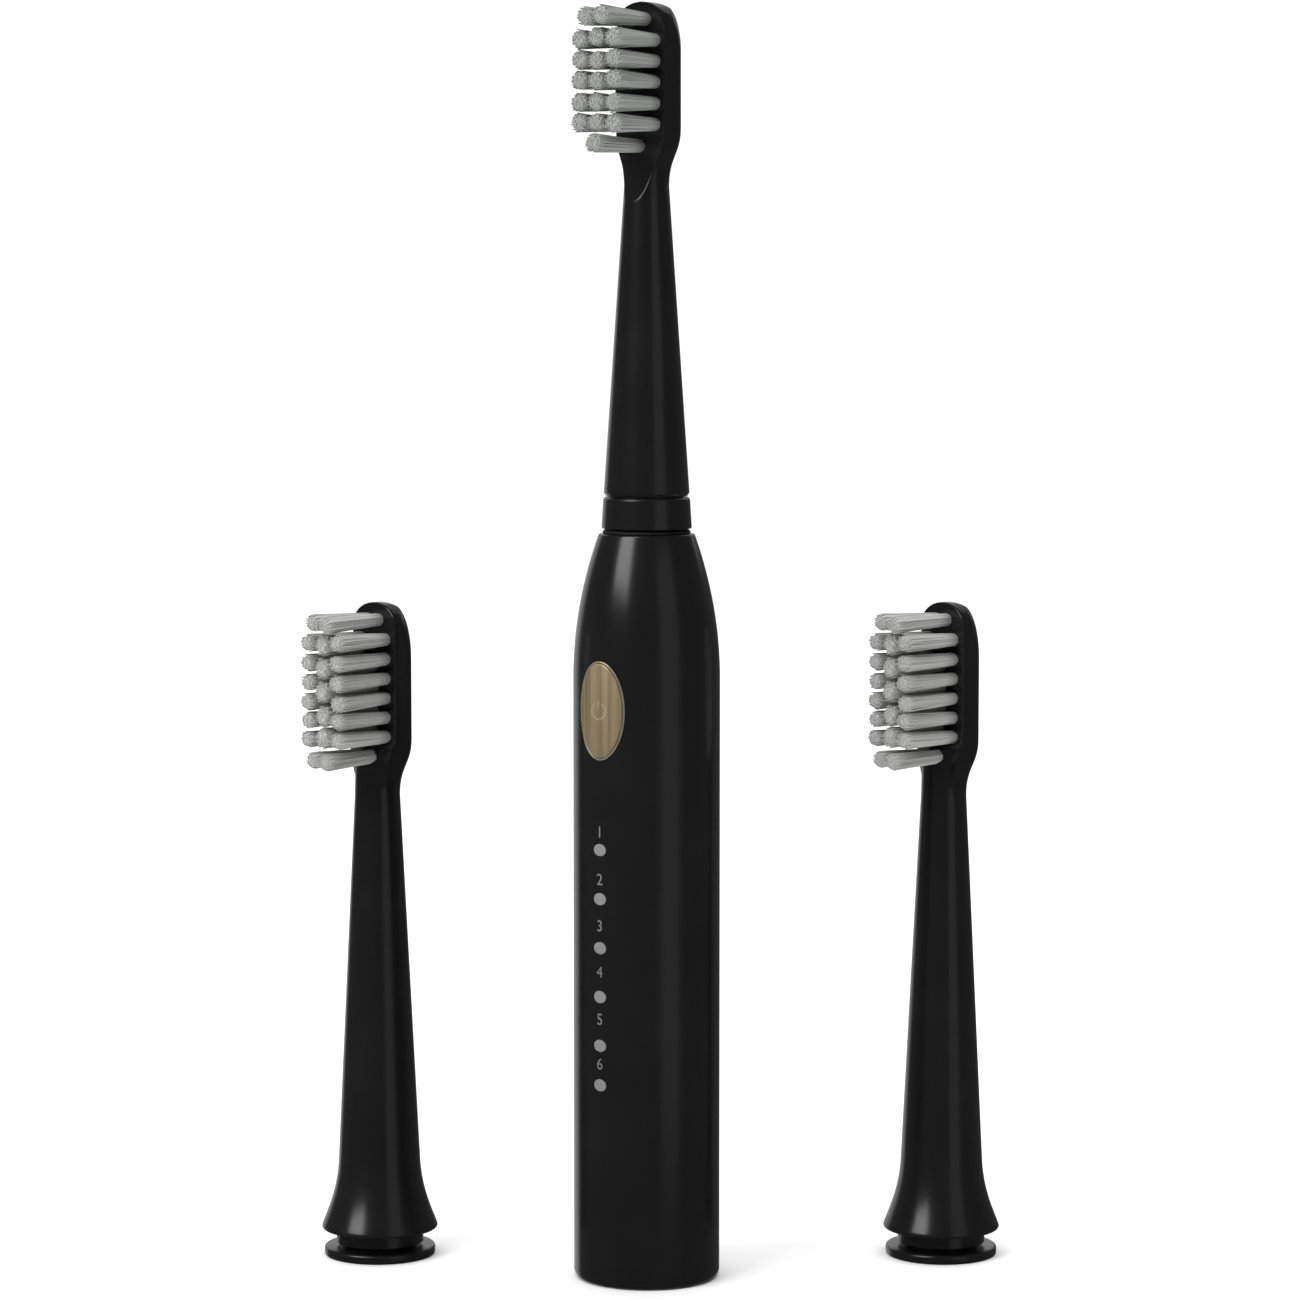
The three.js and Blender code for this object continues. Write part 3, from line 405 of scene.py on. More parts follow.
def wrap(piece, radius):
    """Bends a flat piece that lies at y = 0 round the handle, to that radius."""
    xs = [v.co.x for v in piece.data.vertices]
    low, high = min(xs), max(xs)
    start(piece)
    count = max(2, round((high - low) / BEND_STRIP))
    for i in range(1, count):
        bpy.ops.mesh.select_all(action="SELECT")
        x = low + (high - low) * i / count
        bpy.ops.mesh.bisect(plane_co=(x, 0, 0), plane_no=(1, 0, 0), threshold=1e-5)
    stop()
    angle = (high - low) / radius
    apply(piece, "SIMPLE_DEFORM", deform_method="BEND", deform_axis="Z", angle=angle)
    start(piece)
    bpy.ops.transform.translate(value=(0, -radius, 0))
    stop()
    return piece


def settle(piece, turn=0, at=(0, 0, 0)):
    """Smooths a finished piece, then gives it its place in metres in the part's frame."""
    pick(piece)
    piece.scale = (MM, MM, MM)
    piece.rotation_euler = (0, 0, turn)
    piece.location = [c * MM for c in at]
    bpy.ops.object.transform_apply(location=True, rotation=True, scale=True)
    bpy.ops.object.shade_smooth_by_angle(angle=SMOOTH_ANGLE)


def copy_of(piece, name):
    """A copy with a mesh of its own."""
    made = piece.copy()
    made.data = piece.data.copy()
    made.name = name
    bpy.context.scene.collection.objects.link(made)
    return made


def dress(piece, finish, body, slot, *nodes):
    """Gives a settled piece its material and its body, and hides the CAD nodes it stands for; its
    slot is not used.
    """
    piece.data.materials.clear()
    piece.data.materials.append(finish)
    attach(piece, body)
    if nodes:
        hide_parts(*nodes)


# Outlines


def arc(centre_x, centre_y, radius_x, radius_y, begin, end, steps):
    """Points on an oval arc, angles in degrees."""
    turns = [math.radians(begin + (end - begin) * i / steps) for i in range(steps + 1)]
    return [(centre_x + radius_x * math.cos(t), centre_y + radius_y * math.sin(t)) for t in turns]


def curve(*control, steps=12):
    """Points on a quadratic or cubic curve, without its first point."""
    made = []
    for i in range(1, steps + 1):
        t = i / steps
        points = [Vector(p) for p in control]
        while len(points) > 1:
            points = [a.lerp(b, t) for a, b in zip(points, points[1:])]
        made.append(tuple(points[0]))
    return made


def box_centre(node):
    """The middle of a CAD node seen from above, in millimetres."""
    low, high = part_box(node)
    return (low.x + high.x) / 2 / MM, (low.y + high.y) / 2 / MM


# Materials

WAVE_MM = 0.314  # scale of a wave texture whose bands are one millimetre apart


def srgb(code):
    """A hex colour turned to linear values, with an alpha of 1."""
    parts = [int(code[i:i + 2], 16) / 255 for i in (1, 3, 5)]
    return (*[p / 12.92 if p <= 0.04045 else ((p + 0.055) / 1.055) ** 2.4 for p in parts], 1)


def add(tree, kind, inputs=None, **settings):
    """Adds a node with its settings, and sets or links its inputs."""
    made = tree.nodes.new(kind)
    for key, value in settings.items():
        setattr(made, key, value)
    for socket, value in (inputs or {}).items():
        if isinstance(value, bpy.types.NodeSocket):
            tree.links.new(value, made.inputs[socket])
        else:
            made.inputs[socket].default_value = value
    return made


def millimetres(tree, turn=0, stretch=(1, 1, 1)):
    """Object coordinates in millimetres, turned about Z and stretched."""
    place = add(tree, "ShaderNodeTexCoord")
    spun = add(tree, "ShaderNodeMapping", {0: place.outputs["Object"], "Rotation": (0, 0, -turn)})
    return add(
        tree, "ShaderNodeMapping",
        {0: spun.outputs[0], "Scale": [s / MM for s in stretch]},
    ).outputs[0]


def noise(tree, where, size, detail=2, roughness=0.5):
    """Noise whose grains are about size millimetres."""
    inputs = {"Vector": where, "Scale": 1 / size, "Detail": detail, "Roughness": roughness}
    return add(tree, "ShaderNodeTexNoise", inputs).outputs["Fac"]


def spread(tree, value, low, high, begin=0.3, end=0.7):
    """Spreads a value's middle range over low to high."""
    inputs = {"Value": value, "From Min": begin, "From Max": end, "To Min": low, "To Max": high}
    return add(tree, "ShaderNodeMapRange", inputs).outputs[0]


def blend(tree, factor, first, second):
    inputs = {"Factor": factor, 6: first, 7: second}
    return add(tree, "ShaderNodeMix", inputs, data_type="RGBA").outputs[2]


def bump(tree, height, depth):
    """Bump whose full height is depth millimetres."""
    inputs = {"Height": height, "Distance": depth * MM, "Strength": 1}
    return add(tree, "ShaderNodeBump", inputs).outputs[0]


def new_finish(name):
    material = bpy.data.materials.new(name)
    material.use_nodes = True
    shader = material.node_tree.nodes["Principled BSDF"]
    return material, material.node_tree, shader


def set_up(tree, shader, **sockets):
    """Sets or links the shader's sockets, named in lower case with underscores."""
    for name, value in sockets.items():
        socket = shader.inputs[name.replace("_", " ").title().replace("Ior", "IOR")]
        if isinstance(value, bpy.types.NodeSocket):
            tree.links.new(value, socket)
        else:
            socket.default_value = value


def moulded(name, dark, light, rough, grain, depth, ior=1.5):
    """A moulded or painted surface: slight shade and gloss variation and a fine grain."""
    material, tree, shader = new_finish(name)
    where = millimetres(tree)
    cloud = noise(tree, where, 14, 3)
    fine = noise(tree, where, grain, 2, 0.6)
    set_up(
        tree, shader, ior=ior,
        base_color=blend(tree, spread(tree, cloud, 0, 1), srgb(dark), srgb(light)),
        roughness=spread(tree, cloud, rough[0], rough[1]),
        normal=bump(tree, fine, depth),
    )
    return material


# ABS with a satin paint: even, nearly black, with broad soft highlights and a very fine tooth,
# drawn at a third of a millimetre, which is coarser than the real one.
satin_paint = moulded("satin_painted_abs", "#121213", "#161617", (0.19, 0.23), 0.33, 0.0006)
# Polypropylene of the heads: black, slightly waxy, moulded in a fine-eroded tool.
head_black = moulded("moulded_polypropylene", "#121213", "#161617", (0.19, 0.24), 0.4, 0.0007)
# ABS of rings, stands and cap: as moulded, a little glossier, with a faint grain.
ring_black = moulded("moulded_black_abs", "#121213", "#161617", (0.2, 0.25), 0.5, 0.0007)
# Silicone rubber of the seals: dull, dusty black.
rubber = moulded("silicone_rubber", "#161616", "#202020", (0.62, 0.75), 0.25, 0.004, 1.43)
# Acetal of the inner frame: white, faintly mottled.
white_acetal = moulded("moulded_acetal", "#c4c4bf", "#d6d6d2", (0.4, 0.5), 0.6, 0.003, 1.48)
# Sintered ferrite: dark grey, dull, granular.
ferrite = moulded("sintered_ferrite", "#2f3032", "#434447", (0.55, 0.75), 0.12, 0.01, 2.0)
# Polycarbonate diffusers, unlit: milky grey, softly glossy.
milky = moulded("milky_polycarbonate", "#797776", "#848381", (0.34, 0.42), 0.4, 0.001, 1.5)
# Pad-printed ink: flat grey, slightly thin in places.
ink = moulded("pad_printed_ink", "#5e5e5d", "#787876", (0.5, 0.62), 0.2, 0.002, 1.48)


def brushed(name, turn, dark, light, rough, metallic):
    """Brushed metal: fine upright scratches, drawn 0.12 mm wide, over broad soft streaks."""
    material, tree, shader = new_finish(name)
    streaks = noise(tree, millimetres(tree, turn, (1, 1, 0.02)), 1.4, 2, 0.5)
    hair = noise(tree, millimetres(tree, turn, (1, 1, 0.01)), 0.16, 3, 0.7)
    broad = spread(tree, streaks, 0, 0.75, 0.36, 0.64)
    fine = spread(tree, hair, 0, 0.25)
    shade = add(tree, "ShaderNodeMath", {0: broad, 1: fine}, operation="ADD").outputs[0]
    set_up(
        tree, shader, metallic=metallic,
        base_color=blend(tree, shade, srgb(dark), srgb(light)),
        roughness=spread(tree, hair, rough[0], rough[1]),
        normal=bump(tree, hair, 0.003),
    )
    return material


# Anodised aluminium button: champagne, brushed from top to bottom.
champagne = brushed(
    "brushed_champagne_aluminium", HANDLE_TURN, "#83725a", "#b8a681", (0.42, 0.52), 0.6
)
# Its rim: the same alloy, diamond-cut and smoother; paler partly by its cut and partly by painted
# light that lifts the shade it falls in.
rim_pale_and_painted_light = brushed("cut_aluminium_rim_painted_paler", HANDLE_TURN, "#968e7e", "#bcb2a1", (0.32, 0.4), 0.6)
# The symbol: laser-etched, which leaves the alloy matt; its pale colour is a painted highlight,
# standing in for the light its groove catches.
etched_painted_highlight = brushed("etched_aluminium_painted_highlight", HANDLE_TURN, "#988b70", "#b0a385", (0.5, 0.6), 0.3)


def nylon_finish(name, root_shade, dark, light, tip):
    """Nylon filaments: pale grey, translucent, with painted shade at their roots and a painted
    highlight at their rounded tips.
    """
    material, tree, shader = new_finish(name)
    along = add(tree, "ShaderNodeAttribute", attribute_name="along").outputs["Fac"]
    tone_and_core_shade = add(tree, "ShaderNodeAttribute", attribute_name="tone_and_core_shade").outputs["Fac"]
    body = blend(tree, tone_and_core_shade, srgb(dark), srgb(light))
    # The root colour is painted shade, and the tip colour is a painted highlight.
    length = blend(tree, spread(tree, along, 0, 1, 0.0, 0.25), srgb(root_shade), body)
    whole = blend(tree, spread(tree, along, 0, 1, 0.9, 1.0), length, srgb(tip))
    set_up(tree, shader, base_color=whole, roughness=0.55, ior=1.53)
    return material


# Its colours: painted shade at the roots, the darkest and lightest filament tones, and the painted
# highlight at the tips.
nylon = nylon_finish("nylon_filament", "#727471", "#8a8c89", "#a3a6a1", "#aaaca8")
# A lighter copy for the spare heads' filaments: painted light, which makes up for the shade their
# turned tufts fall in.
nylon_painted_lighter = nylon_finish("nylon_filament_painted_lighter", "#848483", "#9f9f9e", "#b9b9b7", "#bebebd")


def ground():
    """Ground stainless steel: bright, with fine rings round the shaft, about 0.08 mm apart."""
    material, tree, shader = new_finish("ground_steel")
    rings = noise(tree, millimetres(tree, 0, (1, 1, 6)), 0.5, 3, 0.6)
    set_up(
        tree, shader, metallic=1.0,
        base_color=blend(tree, spread(tree, rings, 0, 1), srgb("#9fa2a4"), srgb("#bfc2c4")),
        roughness=spread(tree, rings, 0.22, 0.34),
        normal=bump(tree, rings, 0.002),
    )
    return material


steel = ground()


def winding():
    """Enamelled copper wire: 0.25 mm turns, each a soft ridge."""
    material, tree, shader = new_finish("enamelled_copper_wire")
    wave = {"Vector": millimetres(tree), "Scale": WAVE_MM / 0.25, "Distortion": 0.4, "Detail": 1}
    turns = add(
        tree, "ShaderNodeTexWave", wave, wave_type="BANDS", bands_direction="Z"
    ).outputs["Fac"]
    set_up(
        tree, shader, metallic=0.9, roughness=0.32,
        base_color=blend(tree, turns, srgb("#7a3d1c"), srgb("#b8683a")),
        normal=bump(tree, turns, 0.08),
    )
    return material


copper = winding()


def laminate():
    """Glass-epoxy board: green mask over a 0.5 mm weave."""
    material, tree, shader = new_finish("glass_epoxy_laminate")
    where = millimetres(tree, HANDLE_TURN)
    weave = add(tree, "ShaderNodeTexChecker", {"Vector": where, "Scale": 1 / 0.5}).outputs["Fac"]
    cloud = noise(tree, where, 5, 3)
    shade = add(tree, "ShaderNodeMath", {0: weave, 1: cloud}, operation="MULTIPLY").outputs[0]
    set_up(
        tree, shader, roughness=0.32,
        base_color=blend(tree, shade, srgb("#174a2e"), srgb("#1f5f3b")),
        normal=bump(tree, weave, 0.004),
    )
    return material


laminate_green = laminate()


def sleeve():
    """Heat-shrink sleeve of the cell: glossy blue film with faint wrinkles."""
    material, tree, shader = new_finish("shrink_film_sleeve")
    where = millimetres(tree, 0, (1, 1, 0.4))
    wrinkle = noise(tree, where, 2.5, 3, 0.6)
    set_up(
        tree, shader, ior=1.54,
        base_color=blend(tree, wrinkle, srgb("#23507f"), srgb("#2f679f")),
        roughness=spread(tree, wrinkle, 0.2, 0.34),
        normal=bump(tree, wrinkle, 0.06),
    )
    return material


shrink_film = sleeve()


# Handle


def shoulder_radius(height):
    """Outer radius of the shoulder, which draws in ever faster towards the top."""
    share = (height - SHOULDER_FROM) / (HANDLE_TOP - SHOULDER_FROM)
    return HANDLE_RADIUS - (HANDLE_RADIUS - SHOULDER_TOP_RADIUS) * share * share


def handle_profile():
    """The shell's outside from the foot to the top, then its inside back down."""
    outer = arc(HANDLE_RADIUS - BASE_FILLET, BASE_FILLET, BASE_FILLET, BASE_FILLET, -90, 0, 8)
    outer += [(HANDLE_RADIUS, height) for height in TUBE_RINGS]
    top = HANDLE_TOP - TOP_ROUND
    steps = 44
    rise = [SHOULDER_FROM + (top - SHOULDER_FROM) * i / steps for i in range(steps + 1)]
    rise.insert(-1, top - TOP_GUARD)
    outer += [(shoulder_radius(height), height) for height in rise]
    last = shoulder_radius(top)
    outer += curve(
        (last, top), (last - 0.1, HANDLE_TOP), (last - TOP_ROUND_WIDTH, HANDLE_TOP), steps=5
    )
    inner_top = HANDLE_TOP - NECK_PLATE
    inner = [
        (NECK_BORE + NECK_CHAMFER, HANDLE_TOP), (NECK_BORE, HANDLE_TOP - NECK_CHAMFER),
        (NECK_BORE, inner_top),
    ]
    steps = 16
    fall = [inner_top - (inner_top - SHOULDER_FROM) * i / steps for i in range(steps + 1)]
    inner += [(shoulder_radius(height) - WALL, height) for height in fall]
    inner += [(HANDLE_RADIUS - WALL, 0)]
    return [*outer, *inner, outer[0]]


def button_plate(name, margin, near, far):
    """An oval plate as wide as the button plus a margin, before it is bent round the handle."""
    half = HANDLE_RADIUS * math.asin((BUTTON_HALF_WIDTH + margin) / HANDLE_RADIUS)
    return oval(
        name, half, BUTTON_HALF_HEIGHT + margin, BUTTON_HEIGHT, near, far, BUTTON_SIDES
    )


def build_shell():
    shell = turned("handle_shell_painted", handle_profile(), FINE_SIDES)
    rim = TRIM_GAP + TRIM_WIDTH
    seat = wrap(button_plate("seat", rim - TRIM_BITE, -1, TRIM_DEPTH + 0.1), HANDLE_RADIUS)
    hole = wrap(button_plate("hole", TRIM_GAP + TRIM_WIDTH / 2, -1, 4), HANDLE_RADIUS)
    combine(shell, "DIFFERENCE", seat, hole)
    for height in LENS_HEIGHTS:
        window = oval(
            "window", LENS_HALF_WIDTH + LENS_GAP, LENS_HALF_HEIGHT + LENS_GAP, height,
            -HANDLE_RADIUS - 1, -HANDLE_RADIUS + 4, LENS_SIDES,
        )
        combine(shell, "DIFFERENCE", window)
    settle(shell, HANDLE_TURN)
    dress(shell, satin_paint, "handle", "satin_black_shell", "handle_shell")


def build_cap():
    low, high = CAP_GROOVE_HEIGHT - CAP_GROOVE_HALF, CAP_GROOVE_HEIGHT + CAP_GROOVE_HALF
    groove = CAP_RADIUS - CAP_GROOVE_DEPTH
    inside = CAP_RADIUS - CAP_WALL
    cap = turned("bottom_cap_moulded", [
        (0, CAP_RECESS), (CAP_RECESS_RADIUS - 0.3, CAP_RECESS), (CAP_RECESS_RADIUS, 0),
        (CAP_RADIUS - CAP_EDGE, 0), (CAP_RADIUS, CAP_EDGE),
        (CAP_RADIUS, low), (groove, low), (groove, high), (CAP_RADIUS, high),
        (CAP_RADIUS, CAP_HEIGHT - 0.2), (CAP_RADIUS - 0.2, CAP_HEIGHT),
        (inside, CAP_HEIGHT), (inside, CAP_FLOOR), (0, CAP_FLOOR),
    ])
    settle(cap)
    dress(cap, ring_black, "handle", "black_moulding", "bottom_cap")


def power_mark(margin, near, far):
    """The power symbol, an open ring with an upright bar, between two depths."""
    outer, inner = MARK_OUTER + margin, MARK_INNER - margin
    begin, end = 90 + MARK_OPEN, 450 - MARK_OPEN
    outline = arc(0, BUTTON_HEIGHT, outer, outer, begin, end, 40)
    outline += arc(0, BUTTON_HEIGHT, inner, inner, end, begin, 40)
    half = MARK_BAR_HALF + margin
    low = BUTTON_HEIGHT + MARK_BAR_LOW - margin
    high = BUTTON_HEIGHT + MARK_BAR_HIGH + margin
    bar = block("bar", (-half, near, low), (half, far, high))
    return prism("power_symbol", outline, near, far), bar


def build_button():
    face = -BUTTON_PROUD
    button = button_plate("power_button_brushed", 0, face, face + BUTTON_THICKNESS)
    bevel_edges(button, BUTTON_EDGE, 4, lambda co: co.y < face + NEARLY)
    combine(button, "DIFFERENCE", *power_mark(MARK_MARGIN, -2, face + MARK_CUT))
    wrap(button, HANDLE_RADIUS)
    settle(button, HANDLE_TURN)
    dress(button, champagne, "button", "champagne_metal", "power_button")
    symbol, bar = power_mark(0, face + MARK_SUNK, face + MARK_THICK)
    pick(symbol, bar)
    bpy.ops.object.join()
    wrap(symbol, HANDLE_RADIUS)
    settle(symbol, HANDLE_TURN)
    dress(symbol, etched_painted_highlight, "button", "champagne_metal")


def build_trim():
    trim = button_plate("button_rim_cut", TRIM_GAP + TRIM_WIDTH, -TRIM_PROUD, TRIM_DEPTH)
    combine(trim, "DIFFERENCE", button_plate("inside", TRIM_GAP, -2, 2))
    bevel_edges(trim, TRIM_EDGE, 3, lambda co: co.y < -TRIM_PROUD + NEARLY)
    wrap(trim, HANDLE_RADIUS)
    settle(trim, HANDLE_TURN)
    dress(trim, rim_pale_and_painted_light, "handle", "pale_trim", "button_trim_ring")


def build_lenses():
    for index, height in enumerate(LENS_HEIGHTS):
        lens = oval(
            "mode_light_%d" % (index + 1), LENS_HALF_WIDTH, LENS_HALF_HEIGHT, height,
            -LENS_PROUD, LENS_STEM - LENS_PROUD, LENS_SIDES,
        )
        bevel_edges(lens, LENS_EDGE, 3, lambda co: co.y < -LENS_PROUD + NEARLY)
        wrap(lens, HANDLE_RADIUS)
        settle(lens, HANDLE_TURN)
        dress(lens, milky, "handle", "diffuser_lens", "mode_lens_%d" % (index + 1))


def build_numbers():
    for index, height in enumerate(LENS_HEIGHTS):
        bpy.ops.object.select_all(action="DESELECT")
        bpy.ops.object.text_add()
        number = bpy.context.object
        number.name = "printed_number_%d" % (index + 1)
        number.data.body = str(index + 1)
        number.data.align_x = "CENTER"
        number.data.size = NUMBER_SIZE
        number.data.extrude = INK_PROUD
        number.data.resolution_u = 6
        pick(number)
        bpy.ops.object.convert(target="MESH")
        number = bpy.context.object
        number.rotation_euler = (math.pi / 2, 0, 0)
        number.location = (0, 0, height + NUMBER_RISE[index] - NUMBER_MIDDLE * NUMBER_SIZE)
        bpy.ops.object.transform_apply(location=True, rotation=True)
        start(number)
        tidy_mesh()
        bpy.ops.mesh.dissolve_limited(angle_limit=math.radians(1))
        stop()
        wrap(number, HANDLE_RADIUS)
        settle(number, HANDLE_TURN)
        dress(number, ink, "handle", "diffuser_lens")


def build_seal():
    """A sleeve in the neck, with a flange on top of the shoulder and a lip at the shaft."""
    outer = NECK_BORE - SEAL_BORE_GAP
    inner = outer - SEAL_WALL
    lip = SHAFT_TOP_RADIUS + SEAL_SHAFT_GAP
    top = HANDLE_TOP + SEAL_FLANGE
    low = HANDLE_TOP - SEAL_DEPTH
    seat = HANDLE_TOP + 0.01
    edge = top - SEAL_EDGE
    groove_in, groove_out = SEAL_GROOVE
    seal = turned("shaft_seal_rubber", [
        (inner, low), (outer, low), (outer, seat),
        (SEAL_RADIUS - 0.15, seat), (SEAL_RADIUS, HANDLE_TOP + 0.15),
        (SEAL_RADIUS, edge), (SEAL_RADIUS - SEAL_EDGE, top),
        (groove_out, top), (groove_out - SEAL_EDGE, edge),
        (groove_in + SEAL_EDGE, edge), (groove_in, top),
        (lip + SEAL_EDGE, top), (lip, edge), (lip, HANDLE_TOP - SEAL_FLANGE),
        (inner, HANDLE_TOP - 2 * SEAL_FLANGE), (inner, low),
    ])
    settle(seal)
    dress(seal, rubber, "handle", "black_rubber", "shaft_seal")


def build_shaft():
    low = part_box("drive_shaft")[0].z / MM
    shaft = turned("drive_shaft_ground", [
        (0, low), (SHAFT_RADIUS - SHAFT_FOOT_CHAMFER, low),
        (SHAFT_RADIUS, low + SHAFT_FOOT_CHAMFER), (SHAFT_RADIUS, SHAFT_STEP),
        (SHAFT_TOP_RADIUS, SHAFT_STEP), (SHAFT_TOP_RADIUS, SHAFT_TOP - SHAFT_CHAMFER),
        (SHAFT_TOP_RADIUS - SHAFT_CHAMFER, SHAFT_TOP), (0, SHAFT_TOP),
    ], SMALL_SIDES)
    wide = 2 * SHAFT_TOP_RADIUS
    flat = block(
        "flat", (-wide, -wide, SHAFT_TOP - SHAFT_FLAT_LENGTH), (wide, -SHAFT_FLAT, SHAFT_TOP + 1)
    )
    combine(shaft, "DIFFERENCE", flat)
    settle(shaft, HANDLE_TURN)
    dress(shaft, steel, "shaft", "bright_steel", "drive_shaft")


# Heads


def paddle_outline(head):
    """The paddle seen from the front: flaring from the neck, round at the top."""
    foot = head["waist_radius"] - FOOT_INSET
    low = head["waist"] - 1
    wide = head["waist"] + PADDLE_SHOULDER
    half = PADDLE_HALF_WIDTH
    right = [(foot, low)]
    right += curve(
        (foot, low), (foot, low + PADDLE_EASE), (half, wide - PADDLE_EASE), (half, wide), steps=24
    )
    crown = arc(0, head["length"] - PADDLE_TOP_ROUND, half, PADDLE_TOP_ROUND, 0, 180, 40)
    left = [(-x, height) for x, height in reversed(right)]
    return right + crown + left


def row_height(head, row):
    """Height of a row of tufts, counted from the top."""
    return head["length"] - head["top_row"] - row * head["pitch"]


def pad_outline(head, margin):
    """The bristle carrier seen from the front, inside the paddle by a margin."""
    half = PADDLE_HALF_WIDTH - margin
    crown = head["length"] - PADDLE_TOP_ROUND
    wide = head["waist"] + PADDLE_SHOULDER
    low = row_height(head, len(head["rows"]) - 1) - head["pad_foot"] + margin
    top = arc(0, crown, half, PADDLE_TOP_ROUND - margin, 0, 180, 40)
    return top + arc(0, wide, half, wide - low, 180, 360, 40)


def build_paddle(head):
    """The flat paddle with its rounded back, before it is joined to the neck."""
    half, back, length = PADDLE_HALF_WIDTH, head["back"], head["length"]
    paddle = prism("paddle", paddle_outline(head), back, -head["face"] - 1)
    front = -2 * half
    side = [
        (back, head["waist"] - 1), (front, head["waist"] - 1), (front, length + 1),
        (back - CROWN_ROUND, length + 1), (back - CROWN_ROUND, length),
    ]
    side += curve(
        (back - CROWN_ROUND, length), (back - CROWN_FULL, length), (back, length - BACK_ROUND),
        steps=24,
    )
    corner_x, corner_y = half - BACK_CORNER, back - BACK_CORNER
    across = [(-half, -head["face"] - 2), (half, -head["face"] - 2)]
    across += arc(corner_x, corner_y, BACK_CORNER, BACK_CORNER, 0, 90, 10)
    across += arc(-corner_x, corner_y, BACK_CORNER, BACK_CORNER, 90, 180, 10)
    section = extruded("section", [(x, y, head["waist"] - 2) for x, y in across], (0, 0, 60))
    corner = math.hypot(corner_x, corner_y) + BACK_CORNER
    waist, radius = head["waist"], head["waist_radius"]
    wide = waist + PADDLE_SHOULDER
    bell = [(0, waist - 1), (radius, waist - 1), (radius, waist)]
    bell += curve(
        (radius, waist), (radius, waist + PADDLE_EASE), (corner, wide - PADDLE_EASE),
        (corner, wide), steps=24,
    )
    bell += [(corner, length - head["crown_long"])]
    bell += curve(
        (corner, length - head["crown_long"]), (corner - CROWN_LEAN, length - CROWN_DIP),
        (corner - head["crown_drop"], length + 0.01), steps=16,
    )
    bell += [(0, length + 0.01)]
    round_about = turned("bell", bell, NECK_SIDES)
    return combine(
        paddle, "INTERSECT", side_prism("side", side, 3 * half), section, round_about
    )


def face_cut(head):
    """What is cut away in front of the neck: the flat face and the slope that leads up to it."""
    face, third = head["face"], head["ramp"] / 3
    ramp_top = head["waist"] + head["ramp_top"]
    ramp_low = ramp_top - head["ramp"]
    brow = head["waist_radius"] + head["brow"]
    turn = face + (brow - face) * head["ramp_turn"]
    front, top = 2 * PADDLE_HALF_WIDTH, head["length"] + 1
    side = [(face, top), (face, ramp_top)]
    side += curve(
        (face, ramp_top), (face, ramp_top - third), (turn, ramp_low + third), (brow, ramp_low),
        steps=20,
    )
    side += [(front, ramp_low), (front, top)]
    return side_prism("face_cut", [(-y, height) for y, height in side], front)


def fitted_foot():
    """The foot of the fitted head's neck, a little longer than it is after its trim."""
    low = RING_HEIGHT + RING_BEVEL + GROOVE
    return [(0, low - 2), (FITTED_NECK_RADIUS, low - 2), (FITTED_NECK_RADIUS, FITTED_NECK_FROM)]


def skirt_foot():
    """The skirt of a spare head: a rounded rim, a tuck above it, and a sweep up to the neck."""
    rim = SKIRT_LOW + SKIRT_RIM
    top = SKIRT_LOW + SKIRT_HEIGHT
    foot = [(0, SKIRT_LOW), (SKIRT_RADIUS - SKIRT_RIM, SKIRT_LOW)]
    foot += arc(SKIRT_RADIUS - SKIRT_RIM, rim, SKIRT_RIM, SKIRT_RIM, -80, 0, 8)
    foot += curve(
        (SKIRT_RADIUS, rim), (SKIRT_RADIUS - SKIRT_TUCK, rim + SKIRT_TUCK_RISE),
        (SKIRT_NECK_RADIUS + SKIRT_SWEEP, top - SKIRT_SWEEP_DROP), (SKIRT_NECK_RADIUS, top),
        steps=24,
    )
    return foot


def head_form(head, foot):
    """Neck and paddle in one, with soft moulded edges: joined, remeshed and smoothed."""
    outline = [*foot, (head["waist_radius"], head["waist"])]
    outline += [(head["back"] - FOOT_INSET, head["waist"] + NECK_RUN_OUT)]
    outline += [(0, head["waist"] + PADDLE_SHOULDER)]
    form = turned("head_form", outline, NECK_SIDES)
    combine(form, "UNION", build_paddle(head))
    combine(form, "DIFFERENCE", face_cut(head))
    apply(form, "REMESH", mode="VOXEL", voxel_size=head["voxel"])
    apply(form, "SMOOTH", factor=0.5, iterations=head["smoothing"])
    return form


def seat_for_pad(head):
    """What is cut out of the face to take the bristle carrier."""
    face = -head["face"]
    outline = pad_outline(head, PAD_MARGIN)
    return prism("pad_seat", outline, face + PAD_THICKNESS + PAD_SEAT_GAP, face - 4)


def bore():
    """What is cut out of a head to take its insert."""
    radius, top = INSERT_RADIUS + INSERT_GAP, INSERT_LENGTH + 2 * INSERT_GAP
    return turned("bore", [(0, -2), (radius, -2), (radius, top), (0, top)])


def head_spigot(top):
    """The round foot of a head that its ring sits on."""
    return turned("spigot", [
        (0, SPIGOT_FOOT), (SPIGOT_RADIUS - SPIGOT_CHAMFER, SPIGOT_FOOT),
        (SPIGOT_RADIUS, SPIGOT_FOOT + SPIGOT_CHAMFER), (SPIGOT_RADIUS, top), (0, top),
    ])


def fitted_body(form):
    """The fitted head's moulding: its neck trimmed above the ring, with spigot and cuts."""
    low = RING_HEIGHT + RING_BEVEL + GROOVE
    trim = turned("trim", [
        (0, low), (FITTED_NECK_RADIUS - RING_BEVEL, low),
        (FITTED_NECK_RADIUS + 0.05, FITTED_NECK_FROM),
        (20, FITTED_NECK_FROM + 0.1), (20, 100), (0, 100),
    ])
    combine(form, "INTERSECT", trim)
    combine(form, "UNION", head_spigot(low + 1))
    return combine(form, "DIFFERENCE", bore(), seat_for_pad(FITTED))


